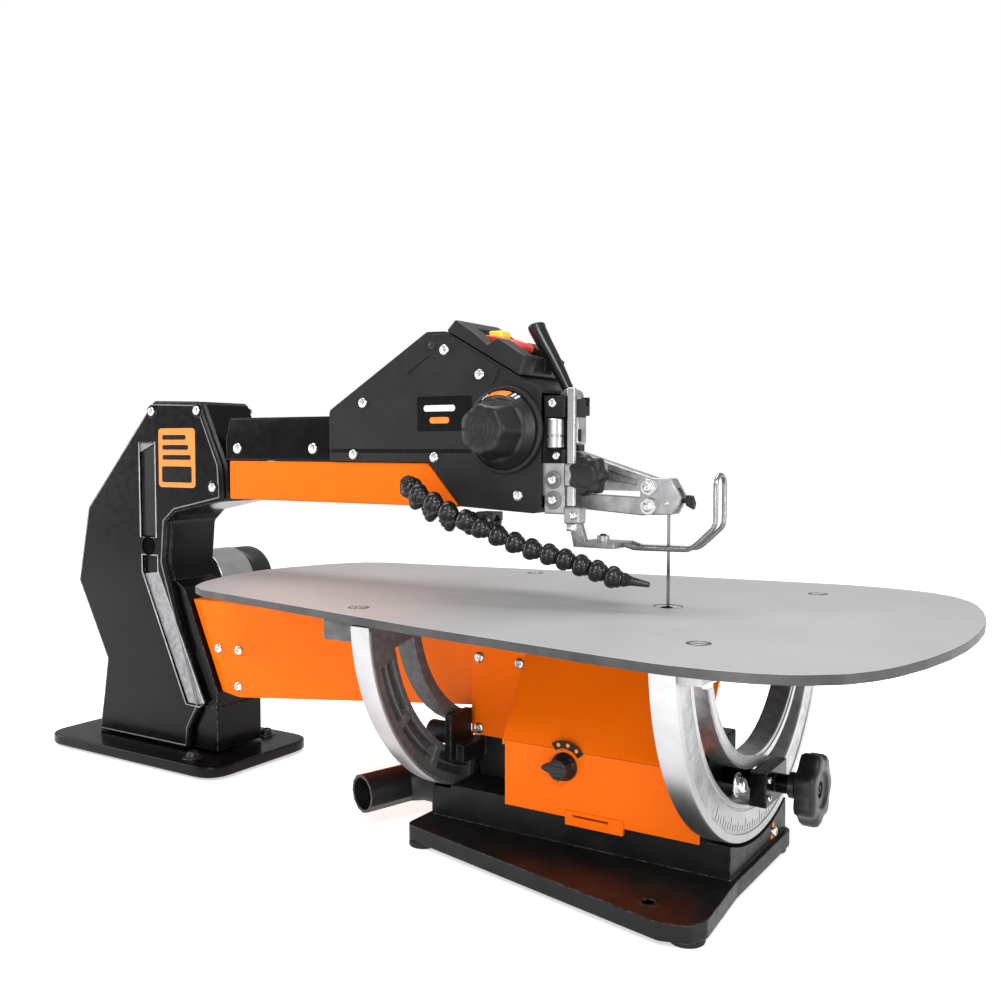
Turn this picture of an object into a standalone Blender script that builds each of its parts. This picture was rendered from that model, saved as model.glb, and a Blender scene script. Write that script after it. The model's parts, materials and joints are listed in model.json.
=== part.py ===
"""Scroll saw with parallel drive arms, a tilting table and a variable speed head.

Every outline is in millimetres about the point where the blade crosses the table
top: X runs to the front, Y to the far side (away from the operator's left), Z up.
"""
import math

import bmesh
import bpy
from mathutils import Matrix, Vector

MM = 0.001
BLADE_X = 231.5            # blade line ahead of the middle of the saw
TABLE_HEIGHT = 195.0       # table top above the floor
GAP = 0.3                  # clearance between touching pieces

# table
TABLE_THICKNESS = 6.0
TABLE_HALF = [(-438, 0), (-434, 33), (-427, 60), (-418, 85), (-406, 106), (-388, 126),
              (-111, 180), (40, 202), (84, 207), (118, 205), (146, 199), (170, 186),
              (187, 167), (199, 142), (209, 108), (216, 72), (220, 36), (221, 0)]
INSERT_RADIUS = 11.0
BLADE_SLOT = [(-4.4, -7.8), (-4.4, 2.6), (4.4, 2.6), (4.4, -7.8)]
SCREW_Y = 133.5
FRONT_SCREW_X = 78.0
REAR_SCREW_X = -197.0

# trunnions: half rings about the tilt axis
RING_OUTER = 163.5
RING_INNER = 102.0
SLOT_OUTER = 135.0
SLOT_INNER = 112.0
SLOT_END = 12.0            # degrees below the table where the slots stop
RIM = 9.0
WEB_INSET = 7.0
FRONT_RING = (57.0, 74.0)
REAR_RING = (-180.0, -163.0)
PAD_DROP = 15.0

# front base
BASE_BOX = (-180.0, 75.0)
BASE_HALF_WIDTH = 62.0
BASE_TOP = -151.0
BASE_FLOOR = -190.0
FLANGE_TOP = -178.0
CRADLE_RADIUS = 166.0
FOOT_HEIGHT = 5.0

# tower
TOWER = [(-548, 169), (-482, 167), (-452, 105), (-450, 70), (-517, 57), (-531, 46),
         (-535, 5), (-485, -135), (-500, -160), (-502, -181.5), (-642, -181.5),
         (-627, -102), (-672, -21), (-654, 59)]
TOWER_HALF = 34.0
COVER_THICKNESS = 6.0
TOWER_WALL = 9.0
FOOT_PLATE = (-684.0, -430.0, 70.0)
TOWER_FOOT_HEIGHT = 2.5
FOOT_PLATE_TOP = -182.0
GROOVE_UPPER = [(-570, 127), (-546, 127), (-546, 30), (-570, 30)]
GROOVE_LOWER = [(-568, 12), (-544, 12), (-544, -4), (-479, -132), (-485, -136), (-505, -136),
                (-568, -6)]

# upper arm and head
ARM_HALF = 31.0
ARM_REAR = -448.0
ARM_TOP = 150.5
ARM_SPLIT = 109.5
ARM_BOTTOM = 72.5
HEAD_HALF = 34.0
HEAD = [(-313, 109.8), (-313, 155), (-205, 219), (-186, 218.5), (-95, 168), (-94, 78),
        (-98, 70), (-170, 73.5), (-203, 109.8)]
HEAD_CAVITY = [(-325, 95), (-325, 150.9), (-309, 150.9), (-203.5, 215.2), (-187, 214.8),
               (-98.5, 165.7), (-80, 165.7), (-80, 74), (-166, 77), (-166, 55),
               (-174, 55), (-209, 95)]
SWITCH_BOX = [(-186, 219.1), (-177, 228), (-160, 217), (-145, 206), (-136, 211),
              (-109, 194.5), (-114, 179.1)]
SWITCH_HALF = 33.0
SWITCH_TROUGH = [(-167, 240), (-167, 213), (-146, 204.5), (-119, 196.6), (-119, 186),
                 (-100, 176), (-100, 240)]
PADDLE = [(-166, 213.7), (-165, 217), (-146, 213.5), (-131, 208.6), (-128.5, 205.5),
          (-130, 201.4), (-146, 205.5)]
DIAL_CENTRE = (-127.0, 136.5)
KNOB_X = -50.5

# drive
UPPER_PIVOT = (-100.0, 100.0)
UPPER_PIN = (0.0, 81.0)
LOWER_PIVOT = (-100.0, -43.0)
LOWER_PIN = (0.0, -62.0)
REAR_PIVOT = (-560.0, 28.5)
REAR_ARM = 96.5
MOTOR_AXIS = (-560.0, -26.0)
MOTOR_RADIUS = 37.0
CRANK_OFFSET = 1.0

# lower housing
HOUSING_HALF = 21.0
HOUSING = [(-508, -31), (20, -31), (20, -95), (-170, -95), (-444, -124), (-467, -121)]
HOUSING_WALL = 2.0
SIDE_COVER_Y = -28.5
BULGE_Y = -66.0
CREASE_Z = -104.0
DOOR_BOTTOM = -155.0
DOOR_HINGE_Z = -160.0
LATCH = (-53.0, -116.5)
SHEET = 2.0

COLLECTION = "ScrollSaw"
AXES = {
    "xy": (Vector((1, 0, 0)), Vector((0, 1, 0)), Vector((0, 0, 1))),
    "xz": (Vector((1, 0, 0)), Vector((0, 0, 1)), Vector((0, -1, 0))),
    "yz": (Vector((0, 1, 0)), Vector((0, 0, 1)), Vector((1, 0, 0))),
}
COLOURS = {
    "gloss_black": ((0.012, 0.012, 0.013), 0.0, 0.22),
    "charcoal": ((0.03, 0.03, 0.032), 0.0, 0.5),
    "orange": ((0.95, 0.2, 0.01), 0.0, 0.35),
    "cast_aluminium": ((0.45, 0.45, 0.46), 0.9, 0.4),
    "table_steel": ((0.5, 0.5, 0.5), 0.8, 0.15),
    "bright_steel": ((0.6, 0.6, 0.62), 1.0, 0.2),
    "black_plastic": ((0.02, 0.02, 0.02), 0.0, 0.45),
    "rubber": ((0.015, 0.015, 0.015), 0.0, 0.8),
    "red_plastic": ((0.7, 0.03, 0.02), 0.0, 0.4),
    "yellow_plastic": ((0.85, 0.7, 0.05), 0.0, 0.4),
    "motor_grey": ((0.16, 0.16, 0.17), 0.3, 0.35),
}


def clear_scene():
    for item in list(bpy.data.objects):
        bpy.data.objects.remove(item, do_unlink=True)


def new_collection(name):
    group = bpy.data.collections.new(name)
    bpy.context.scene.collection.children.link(group)
    return group


def make_materials():
    made = {}
    for name, (colour, metallic, roughness) in COLOURS.items():
        material = bpy.data.materials.new(name)
        material.use_nodes = True
        shader = material.node_tree.nodes["Principled BSDF"]
        shader.inputs["Base Color"].default_value = (*colour, 1.0)
        shader.inputs["Metallic"].default_value = metallic
        shader.inputs["Roughness"].default_value = roughness
        made[name] = material
    return made


def at(x, y, z):
    """Point in the saw's own millimetres as a world position."""
    return Vector(((x + BLADE_X) * MM, y * MM, (z + TABLE_HEIGHT) * MM))


def finish(name, mesh, material, group=None):
    mesh.name = name
    mesh.shade_smooth()
    mesh.set_sharp_from_angle(angle=math.radians(30))
    if material:
        mesh.materials.clear()
        mesh.materials.append(MATERIALS[material])
    item = bpy.data.objects.new(name, mesh)
    (group or PARTS).objects.link(item)
    return item


def closed_mesh(item):
    """Evaluated copy of a curve object as one welded, outward facing mesh."""
    bpy.context.scene.collection.objects.link(item)
    graph = bpy.context.evaluated_depsgraph_get()
    mesh = bpy.data.meshes.new_from_object(item.evaluated_get(graph))
    bpy.data.objects.remove(item, do_unlink=True)
    work = bmesh.new()
    work.from_mesh(mesh)
    bmesh.ops.remove_doubles(work, verts=work.verts, dist=1e-6)
    bmesh.ops.recalc_face_normals(work, faces=work.faces)
    work.to_mesh(mesh)
    work.free()
    return mesh


def fillet(outline, radius, steps=3):
    """Outline with every corner rounded by up to the given radius."""
    out = []
    count = len(outline)
    for index, point in enumerate(outline):
        here = Vector(point)
        before = Vector(outline[index - 1]) - here
        after = Vector(outline[(index + 1) % count]) - here
        angle = before.angle(after)
        reach = min(radius / math.tan(angle / 2), before.length * 0.45, after.length * 0.45)
        start = here + before.normalized() * reach
        end = here + after.normalized() * reach
        for step in range(steps + 1):
            t = step / steps
            out.append(tuple((1 - t) ** 2 * start + 2 * t * (1 - t) * here + t ** 2 * end))
    return out


def inset(outline, distance):
    """Clockwise outline moved inwards by a constant distance."""
    out = []
    count = len(outline)
    for index, point in enumerate(outline):
        here = Vector(point)
        before = (here - Vector(outline[index - 1])).normalized()
        after = (Vector(outline[(index + 1) % count]) - here).normalized()
        inward = Vector((before.y, -before.x)) + Vector((after.y, -after.x))
        inward = inward.normalized()
        lean = inward.dot(Vector((before.y, -before.x)))
        out.append(tuple(here + inward * distance / lean))
    return out


def mirrored(half):
    """Close an outline given for +Y by its mirror image, sharing end points on Y = 0."""
    return half + [(x, -y) for x, y in reversed(half) if y]


def star(centre, radius, lobes, depth, count=42):
    steps = [2 * math.pi * index / count for index in range(count)]
    reach = [radius - depth * (0.5 - 0.5 * math.cos(lobes * a)) for a in steps]
    return [(centre[0] + r * math.cos(a), centre[1] + r * math.sin(a))
            for r, a in zip(reach, steps)]


def arc(radius, first, last, count):
    turn = [math.radians(first + (last - first) * index / count) for index in range(count + 1)]
    return [(radius * math.cos(a), radius * math.sin(a)) for a in turn]


def bevel(item, width, segments=1, angle=35):
    modifier = item.modifiers.new("Bevel", "BEVEL")
    modifier.width = width * MM
    modifier.segments = segments
    modifier.limit_method = "ANGLE"
    modifier.angle_limit = math.radians(angle)
    modifier.use_clamp_overlap = True
    return item


def prism(name, outline, plane, low, high, material=None, round_edges=0.0, group=None):
    """Flat outline in one plane, thickened between two levels along the third axis."""
    data = bpy.data.curves.new(name, "CURVE")
    data.dimensions = "2D"
    data.fill_mode = "BOTH"
    data.extrude = abs(high - low) * MM / 2
    spline = data.splines.new("POLY")
    spline.points.add(len(outline) - 1)
    for point, (a, b) in zip(spline.points, outline):
        point.co = (a * MM, b * MM, 0.0, 1.0)
    spline.use_cyclic_u = True
    mesh = closed_mesh(bpy.data.objects.new(name, data))
    right, up, normal = AXES[plane]
    middle = (low + high) / 2
    level = {"xy": (0, 0, middle), "xz": (0, middle, 0), "yz": (middle, 0, 0)}[plane]
    turn = Matrix((right, up, normal)).transposed().to_4x4()
    mesh.transform(Matrix.Translation(at(*level)) @ turn)
    item = finish(name, mesh, material, group)
    return bevel(item, round_edges) if round_edges else item


def box(name, x, y, z, material=None, round_edges=0.0, group=None):
    """Block between pairs of limits along each axis."""
    mesh = bpy.data.meshes.new(name)
    work = bmesh.new()
    size = Matrix.Diagonal(((x[1] - x[0]) * MM, (y[1] - y[0]) * MM, (z[1] - z[0]) * MM, 1.0))
    centre = at((x[0] + x[1]) / 2, (y[0] + y[1]) / 2, (z[0] + z[1]) / 2)
    bmesh.ops.create_cube(work, size=1.0, matrix=Matrix.Translation(centre) @ size)
    work.to_mesh(mesh)
    work.free()
    item = finish(name, mesh, material, group)
    return bevel(item, round_edges) if round_edges else item


def rod(name, start, end, radius, material=None, end_radius=None, count=24, group=None,
        round_edges=0.0):
    """Round bar or cone frustum between two points."""
    mesh = bpy.data.meshes.new(name)
    work = bmesh.new()
    base, tip = at(*start), at(*end)
    turn = (tip - base).to_track_quat("Z", "Y").to_matrix().to_4x4()
    top = radius if end_radius is None else end_radius
    bmesh.ops.create_cone(work, cap_ends=True, segments=count, radius1=radius * MM,
                          radius2=top * MM, depth=(tip - base).length,
                          matrix=Matrix.Translation((base + tip) / 2) @ turn)
    work.to_mesh(mesh)
    work.free()
    item = finish(name, mesh, material, group)
    return bevel(item, round_edges) if round_edges else item


def wire(name, points, radius, material=None, closed=False, resolution=2, group=None):
    """Round wire through a list of points."""
    data = bpy.data.curves.new(name, "CURVE")
    data.dimensions = "3D"
    data.bevel_depth = radius * MM
    data.bevel_resolution = resolution
    data.use_fill_caps = True
    spline = data.splines.new("POLY")
    spline.points.add(len(points) - 1)
    for point, place in zip(spline.points, points):
        point.co = (*at(*place), 1.0)
    spline.use_cyclic_u = closed
    return finish(name, closed_mesh(bpy.data.objects.new(name, data)), material, group)


def tool(item):
    """Hide a cutting or joining shape from the render."""
    item.hide_render = True
    item.display_type = "WIRE"
    return item


def combine(target, other, operation):
    modifier = target.modifiers.new(operation.title(), "BOOLEAN")
    modifier.operation = operation
    modifier.solver = "EXACT"
    modifier.object = tool(other)
    return target


def cut(target, *others):
    for other in others:
        combine(target, other, "DIFFERENCE")
    return target


def fuse(target, *others):
    for other in others:
        combine(target, other, "UNION")
    return target


def hinge_on(item, x, y, z):
    """Move an object's origin onto its joint axis without moving its shape."""
    place = at(x, y, z)
    item.data.transform(Matrix.Translation(-place))
    item.location = place
    return item


def cutter_box(name, x, y, z):
    return box(name, x, y, z, group=TOOLS)


def cutter_rod(name, start, end, radius, **extra):
    return rod(name, start, end, radius, group=TOOLS, **extra)


def cutter_prism(name, outline, plane, low, high):
    return prism(name, outline, plane, low, high, group=TOOLS)


# ---------------------------------------------------------------- table and trunnions
def build_table():
    table = prism("table", fillet(mirrored(TABLE_HALF), 60, 1), "xy", -TABLE_THICKNESS, 0.0, "table_steel")
    cut(table, cutter_rod("insert_seat", (0, 0, -8), (0, 0, 2), INSERT_RADIUS + GAP, count=32))
    hinge_on(table, 0, 0, 0)
    insert = rod("table_insert", (0, 0, -TABLE_THICKNESS), (0, 0, -GAP), INSERT_RADIUS,
                 "black_plastic", count=32)
    cut(insert, cutter_prism("blade_slot", fillet(BLADE_SLOT, 4), "xy", -8, 2))
    hinge_on(insert, 0, 0, 0)


def half_ring(name, span, pad_span):
    """Slotted half ring with a rimmed, ribbed web and pads for the table screws."""
    outline = arc(RING_OUTER, 180, 360, 40) + arc(RING_INNER, 360, 180, 26)
    outline = [(y, min(z, -TABLE_THICKNESS - 2)) for y, z in outline]
    ring = prism(name, outline, "yz", span[0], span[1], "cast_aluminium", 1.0)
    first, last = 180 + SLOT_END, 360 - SLOT_END
    slot = arc(SLOT_OUTER, first, last, 26) + arc(SLOT_INNER, last, first, 20)
    cut(ring, cutter_prism(name + "_slot", slot, "yz", span[0] - 1, span[1] + 1))
    for side in (-1, 1):
        pad = box(name + "_pad_tool", pad_span, sorted((side * 112, side * 160)),
                  (-TABLE_THICKNESS - GAP - PAD_DROP, -TABLE_THICKNESS - GAP), group=TOOLS)
        fuse(ring, pad)
    return ring


def web_pockets(ring, name, low, high):
    """Recesses between the rim and the slot, parted by radial ribs."""
    count, rib, start = 7, 3.0, 193.7
    span = (540 - 2 * start) / count
    for index in range(count):
        first = start + index * span + rib / 2
        last = start + (index + 1) * span - rib / 2
        pocket = arc(RING_OUTER - RIM, first, last, 3) + arc(SLOT_OUTER + 5, last, first, 3)
        cut(ring, cutter_prism(f"{name}_pocket_{index}", pocket, "yz", low, high))


def build_trunnions():
    front = half_ring("front_trunnion", FRONT_RING, (FRONT_RING[0], FRONT_SCREW_X + 12))
    hinge_on(front, 0, 0, 0)
    rear = half_ring("rear_trunnion", REAR_RING, (REAR_SCREW_X - 12, REAR_RING[1]))
    web_pockets(rear, "rear_trunnion", REAR_RING[1] - WEB_INSET, REAR_RING[1] + 1)
    hinge_on(rear, 0, 0, 0)


# ---------------------------------------------------------------- base
def build_base():
    flange = [(-184, -92), (58, -148), (78, -143), (84, -128), (79, -60), (80, 60),
              (70, 68), (-176, 68), (-184, 60)]
    base = prism("front_base", fillet(flange, 9), "xy", BASE_FLOOR, FLANGE_TOP,
                 "gloss_black", 1.5)
    body = box("base_body_tool", BASE_BOX, (-BASE_HALF_WIDTH, BASE_HALF_WIDTH),
               (FLANGE_TOP - 4, BASE_TOP), group=TOOLS)
    fuse(base, body)
    cut(base, cutter_rod("front_cradle", (FRONT_RING[0] - 2, 0, 0), (BASE_BOX[1] + 8, 0, 0),
                         CRADLE_RADIUS, count=96),
        cutter_rod("rear_cradle", (REAR_RING[0] - 8, 0, 0), (REAR_RING[1] + 2, 0, 0),
                   CRADLE_RADIUS, count=96),
        cutter_rod("base_bolt_hole", (41, -124, -200), (41, -124, -170), 4.5, count=16))
    places = [(70, -128), (-172, -84), (66, 54), (-172, 54)]
    for index, (x, y) in enumerate(places):
        rod(f"base_foot_{index + 1}", (x, y, -TABLE_HEIGHT), (x, y, BASE_FLOOR - GAP), 12.0,
            "rubber", count=20)


def build_dust_port():
    path = [(-181, -42, -160), (-200, -42, -160), (-214, -50, -161), (-229, -92, -162)]
    port = wire("dust_port", path, 16.0, "black_plastic", resolution=4)
    bore = wire("dust_bore", path[1:] + [(-233.3, -104, -162.3)], 13.5, group=TOOLS, resolution=4)
    cut(port, bore)
    return port


def build_pedestal():
    pedestal = box("pedestal", (-156, 46), (-28, 28), (BASE_TOP + GAP, -95 - GAP),
                   "gloss_black", 1.0)
    fuse(pedestal, box("pedestal_ear", (-163, -150), (-60, -24), (-132, -118), group=TOOLS),
         box("ear_upright", (-163, -157), (-68, -38), (-130, -92), group=TOOLS))
    roller = rod("rear_guide_roller", (-184, -57, -110), (-163.4, -57, -110), 9.0,
                 "black_plastic", count=24)
    hinge_on(roller, -175, -57, -110)


def build_tilt_lock():
    shaft = rod("tilt_clamp", (46.4, 0, -123), (105, 0, -123), 7.0, "gloss_black", count=24)
    collar = box("clamp_collar", (FRONT_RING[1] + GAP * 2, 87), (-24, 24), (-136, -111),
                 group=TOOLS)
    fuse(shaft, collar)
    knob = prism("tilt_lock_knob", star((0, -123), 27, 7, 3.2), "yz", 105.3, 121.0,
                 "black_plastic", 2.0)
    hinge_on(knob, 110, 0, -123)


# ---------------------------------------------------------------- tower and motor
def build_tower():
    frame = prism("tower_frame", TOWER, "xz", -TOWER_HALF + COVER_THICKNESS + GAP, TOWER_HALF,
                  "gloss_black", 3.0)
    lower_box = cutter_box("tower_lower_box", (-520, -468), (-27.2, TOWER_HALF - 1.5),
                           (-180, -137))
    collar = prism("tower_collar", [(-530, -12), (-515, -20), (-508.9, -31), (-467.9, -121),
                                    (-470, -138), (-500, -140)], "xz", -26.5, 26.5,
                   group=TOOLS)
    fuse(frame, lower_box, collar)
    hollow = [(-548, 169), (-482, 167), (-452, 105), (-450, 70), (-517, 57), (-531, 46),
              (-535, 5), (-496, -104), (-627, -102), (-672, -21), (-654, 59)]
    cut(frame, cutter_box("upper_rod_way", (-475, -440), (-12, 12), (112, 138)),
        cutter_box("lower_rod_way", (-545, -430), (-12, 12), (-82, -54)),
        cutter_rod("motor_way", flat(MOTOR_AXIS, 15), flat(MOTOR_AXIS, 40), 9.0),
        cutter_prism("tower_pocket", inset(hollow, TOWER_WALL), "xz", -50,
                     TOWER_HALF - TOWER_WALL))
    pin = rod("rear_pin", flat(REAR_PIVOT, -24), flat(REAR_PIVOT, TOWER_HALF - 4), 5.0,
              group=TOOLS)
    fuse(frame, pin)
    build_tower_cover()


def build_tower_cover():
    cover = prism("tower_side_cover", TOWER, "xz", -TOWER_HALF,
                  -TOWER_HALF + COVER_THICKNESS, "gloss_black", 2.0)
    near = -TOWER_HALF
    cut(cover, cutter_prism("groove_upper", GROOVE_UPPER, "xz", near - 1, near + 3.5),
        cutter_prism("groove_lower", GROOVE_LOWER, "xz", near - 1, near + 3.5),
        cutter_rod("pivot_access", flat((-558, 21), near - 2), flat((-558, 21), near + 4), 8.0))
    return cover


def flat(point, y):
    """Place an (x, z) pair at a given depth."""
    return (point[0], y, point[1])


def build_tower_foot():
    rear, front, half = FOOT_PLATE
    outline = [(rear, -half), (rear, half), (front, half), (front, -half)]
    plate = prism("tower_foot_plate", fillet(outline, 26, 5), "xy", -TABLE_HEIGHT + TOWER_FOOT_HEIGHT,
                  FOOT_PLATE_TOP, "gloss_black", 2.0)
    cut(plate, cutter_rod("foot_bolt_hole", (-478, -50, -200), (-478, -50, -170), 4.5,
                          count=16))
    for name, x in (("tower_foot_rear", -670), ("tower_foot_front", -450)):
        box(name, (x - 9, x + 9), (-46, 46),
            (-TABLE_HEIGHT, -TABLE_HEIGHT + TOWER_FOOT_HEIGHT - GAP), "rubber")


def build_motor():
    body = rod("motor_body", flat(MOTOR_AXIS, TOWER_HALF + GAP), flat(MOTOR_AXIS, 80),
               MOTOR_RADIUS, "motor_grey", count=40)
    cut(body, cutter_rod("shaft_bore", flat(MOTOR_AXIS, 30), flat(MOTOR_AXIS, 72), 5.0,
                         count=20))
    cap = rod("motor_end_cap", flat(MOTOR_AXIS, 80 + GAP), flat(MOTOR_AXIS, 112),
              MOTOR_RADIUS - 1, "black_plastic", count=40, round_edges=5.0)
    cap.modifiers["Bevel"].segments = 3
    shaft = rod("motor_shaft", flat(MOTOR_AXIS, 2), flat(MOTOR_AXIS, 70), 4.4,
                "bright_steel", count=20)
    disc = rod("crank_disc", flat(MOTOR_AXIS, -2), flat(MOTOR_AXIS, 12), 15.0, group=TOOLS)
    pin = rod("crank_pin", (MOTOR_AXIS[0] + CRANK_OFFSET, -20, MOTOR_AXIS[1]),
              (MOTOR_AXIS[0] + CRANK_OFFSET, 2, MOTOR_AXIS[1]), 3.0, count=16, group=TOOLS)
    fuse(shaft, disc, pin)
    hinge_on(shaft, *flat(MOTOR_AXIS, 20))
    return cap


# ---------------------------------------------------------------- drive linkage
def build_push_rod(name, front, rear_z):
    low, high = REAR_PIVOT[0] - 8, front + 6.5
    bar = box(name, (low, high), (-6, 6), (rear_z - 5, rear_z + 5), "bright_steel", 1.0)
    for tag, x in (("rear", REAR_PIVOT[0]), ("front", front)):
        cut(bar, cutter_rod(f"{name}_{tag}_hole", (x, -9, rear_z), (x, 9, rear_z), 3.5,
                            count=16))
    return bar


def build_rear_rocker():
    x, z = REAR_PIVOT
    outline = [(x - 10, z - REAR_ARM - 7), (x - 10, z + REAR_ARM + 7),
               (x + 10, z + REAR_ARM + 7), (x + 10, z - REAR_ARM - 7)]
    bar = prism("rear_rocker", fillet(outline, 7), "xz", -20, -8, "bright_steel")
    fuse(bar, rod("rocker_hub", flat(REAR_PIVOT, -20), flat(REAR_PIVOT, -8), 13.0, group=TOOLS))
    for tag, end in (("top", z + REAR_ARM), ("bottom", z - REAR_ARM)):
        fuse(bar, rod(f"rocker_{tag}_pin", (x, -12, end), (x, 6, end), 3.0, count=16,
                      group=TOOLS))
    cut(bar, cutter_rod("rocker_bore", flat(REAR_PIVOT, -24), flat(REAR_PIVOT, 0), 5.3),
        cutter_box("crank_slot", (MOTOR_AXIS[0] - 5.6, MOTOR_AXIS[0] + 5.6), (-24, -4),
                   (MOTOR_AXIS[1] - 6, MOTOR_AXIS[1] + 6)))
    hinge_on(bar, *flat(REAR_PIVOT, -14))


def build_upper_rocker():
    outline = [(-113, 90), (-113, 110), (-90, 112), (-79, 120), (-10, 99), (4, 99), (13, 84),
               (6, 71.5), (-20, 70), (-74, 73.5), (-100, 86)]
    arm = prism("upper_rocker", outline, "xz", -7, 7, "cast_aluminium", 0.8)
    window = [(-67, 88.8), (-67, 85.2), (-21, 83.6), (-21, 88.8)]
    cut(arm, cutter_prism("rocker_window", window, "xz", -10, 10))
    flute = [(-70, 112), (-24, 97.5), (-24, 93), (-70, 99)]
    cut(arm, cutter_prism("rocker_flute", flute, "xz", -10, -4))
    leg = box("upper_leg", (-107, -93), (7 - GAP, 14), (92, 131), group=TOOLS)
    fuse(arm, leg, rod("upper_leg_pin", (-100, -6, 125), (-100, 10, 125), 3.0, count=16,
                       group=TOOLS))
    cut(arm, cutter_rod("upper_pivot_bore", flat(UPPER_PIVOT, -20), flat(UPPER_PIVOT, 20), 4.4),
        cutter_box("upper_tip_slot", (-9, 20), (-3.3, 3.3), (60, 92)))
    fuse(arm, rod("upper_tip_pin", flat(UPPER_PIN, -6), flat(UPPER_PIN, 6), 2.0, count=16,
                  group=TOOLS))
    for index, z in enumerate((92, 77)):
        fuse(arm, rod(f"rocker_bolt_{index + 1}", (-13, -10.5, z), (-13, -3.9, z), 6.0, count=16,
                      group=TOOLS))
    hinge_on(arm, *flat(UPPER_PIVOT, 0))


def build_lower_rocker():
    outline = [(-109, -50), (-109, -36), (-96, -34), (-14, -49), (8, -52), (8, -71), (-14, -72),
               (-96, -53)]
    arm = prism("lower_rocker", outline, "xz", -7, 7, "cast_aluminium", 1.2)
    leg = box("lower_leg", (-107, -93), (7 - GAP, 14), (-74, -37), group=TOOLS)
    fuse(arm, leg, rod("lower_leg_pin", (-100, -6, -68), (-100, 10, -68), 3.0, count=16,
                       group=TOOLS))
    cut(arm, cutter_rod("lower_pivot_bore", flat(LOWER_PIVOT, -20), flat(LOWER_PIVOT, 20), 4.4),
        cutter_box("lower_tip_slot", (-9, 20), (-3.3, 3.3), (-80, -40)))
    fuse(arm, rod("lower_tip_pin", flat(LOWER_PIN, -6), flat(LOWER_PIN, 6), 2.0, count=16,
                  group=TOOLS))
    hinge_on(arm, *flat(LOWER_PIVOT, 0))
    rod("lower_pivot_pin", flat(LOWER_PIVOT, -HOUSING_HALF), flat(LOWER_PIVOT, HOUSING_HALF),
        4.0, "bright_steel")


def build_blade():
    blade = box("blade", (-1.3, 1.3), (-0.3, 0.3), (-52 + GAP, 74 - GAP), "bright_steel")
    hinge_on(blade, *flat(UPPER_PIN, 0))
    for name, low, high, pin in (("upper_blade_clamp", 74, 87, UPPER_PIN),
                                 ("lower_blade_clamp", -70, -52, LOWER_PIN)):
        plate = box(name, (-6, 6), (-2.9, 2.9), (low, high), "bright_steel", 0.5)
        cut(plate, cutter_rod(name + "_hole", flat(pin, -5), flat(pin, 5), 2.4, count=16))
        hinge_on(plate, *flat(UPPER_PIN, 0))
    for name, z, drop, start in (("upper_thumbscrew", 83, -3, 14.5),
                                 ("lower_thumbscrew", -60, 0, 11)):
        screw = rod(name, (7, 0, z), (start + 3, 0, z + drop * 0.3), 2.4, "black_plastic",
                    count=16)
        reach = start + 6
        wing = prism(name + "_wing", [(start, z + 3.5), (reach - 1, z + drop + 6),
                                      (reach + 1, z + drop), (reach, z + drop - 4.5),
                                      (start, z - 4.5)], "xz", -2.5, 2.5, group=TOOLS)
        fuse(screw, wing)
        hinge_on(screw, 10, 0, z)


# ---------------------------------------------------------------- lower housing
def build_housing():
    housing = prism("lower_housing", HOUSING, "xz", -HOUSING_HALF, HOUSING_HALF, "orange", 1.0)
    inner = [(-520, -31 - HOUSING_WALL), (40, -31 - HOUSING_WALL), (40, -95 + HOUSING_WALL),
             (-170, -95 + HOUSING_WALL), (-520, -117)]
    half = HOUSING_HALF - HOUSING_WALL
    cut(housing, cutter_prism("housing_hollow", inner, "xz", -half, half),
        cutter_box("blade_way", (-14, 26), (-7, 7), (-40, -20)),
        cutter_rod("pin_way", flat(LOWER_PIVOT, -30), flat(LOWER_PIVOT, 30), 4.0 + GAP))
    cap = box("lower_front_cap", (20 + GAP, 28), (-24, 24), (-95, -34), "charcoal", 2.0)
    return cap


def build_side_cover():
    """Flat rear panel that flares out into a bulge around the lower blade clamp."""
    top, foot = -41.0, -108.0
    cover = box("side_cover", (-162, -104), (SIDE_COVER_Y - SHEET, SIDE_COVER_Y),
                (foot - 8, top), "orange")
    slope = [(SIDE_COVER_Y - SHEET, top), (BULGE_Y - SHEET, CREASE_Z), (BULGE_Y, CREASE_Z),
             (SIDE_COVER_Y, top - 3.0)]
    cheek = [(SIDE_COVER_Y - 0.5, top), (SIDE_COVER_Y - SHEET, top),
             (BULGE_Y - SHEET, CREASE_Z), (BULGE_Y - SHEET, foot), (SIDE_COVER_Y - 0.5, foot)]
    fuse(cover, cutter_prism("cover_slope", slope, "yz", -108, 54),
         cutter_prism("cover_cheek", cheek, "yz", -108.4, -106.3),
         cutter_box("cover_lug_rear", (-150, -120),
                    (SIDE_COVER_Y - 0.5, -HOUSING_HALF - GAP), (-60, -54)),
         cutter_box("cover_lug_front", (-30, 10),
                    (SIDE_COVER_Y - 7, -HOUSING_HALF - GAP), (-56, -52)))
    return cover


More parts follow.
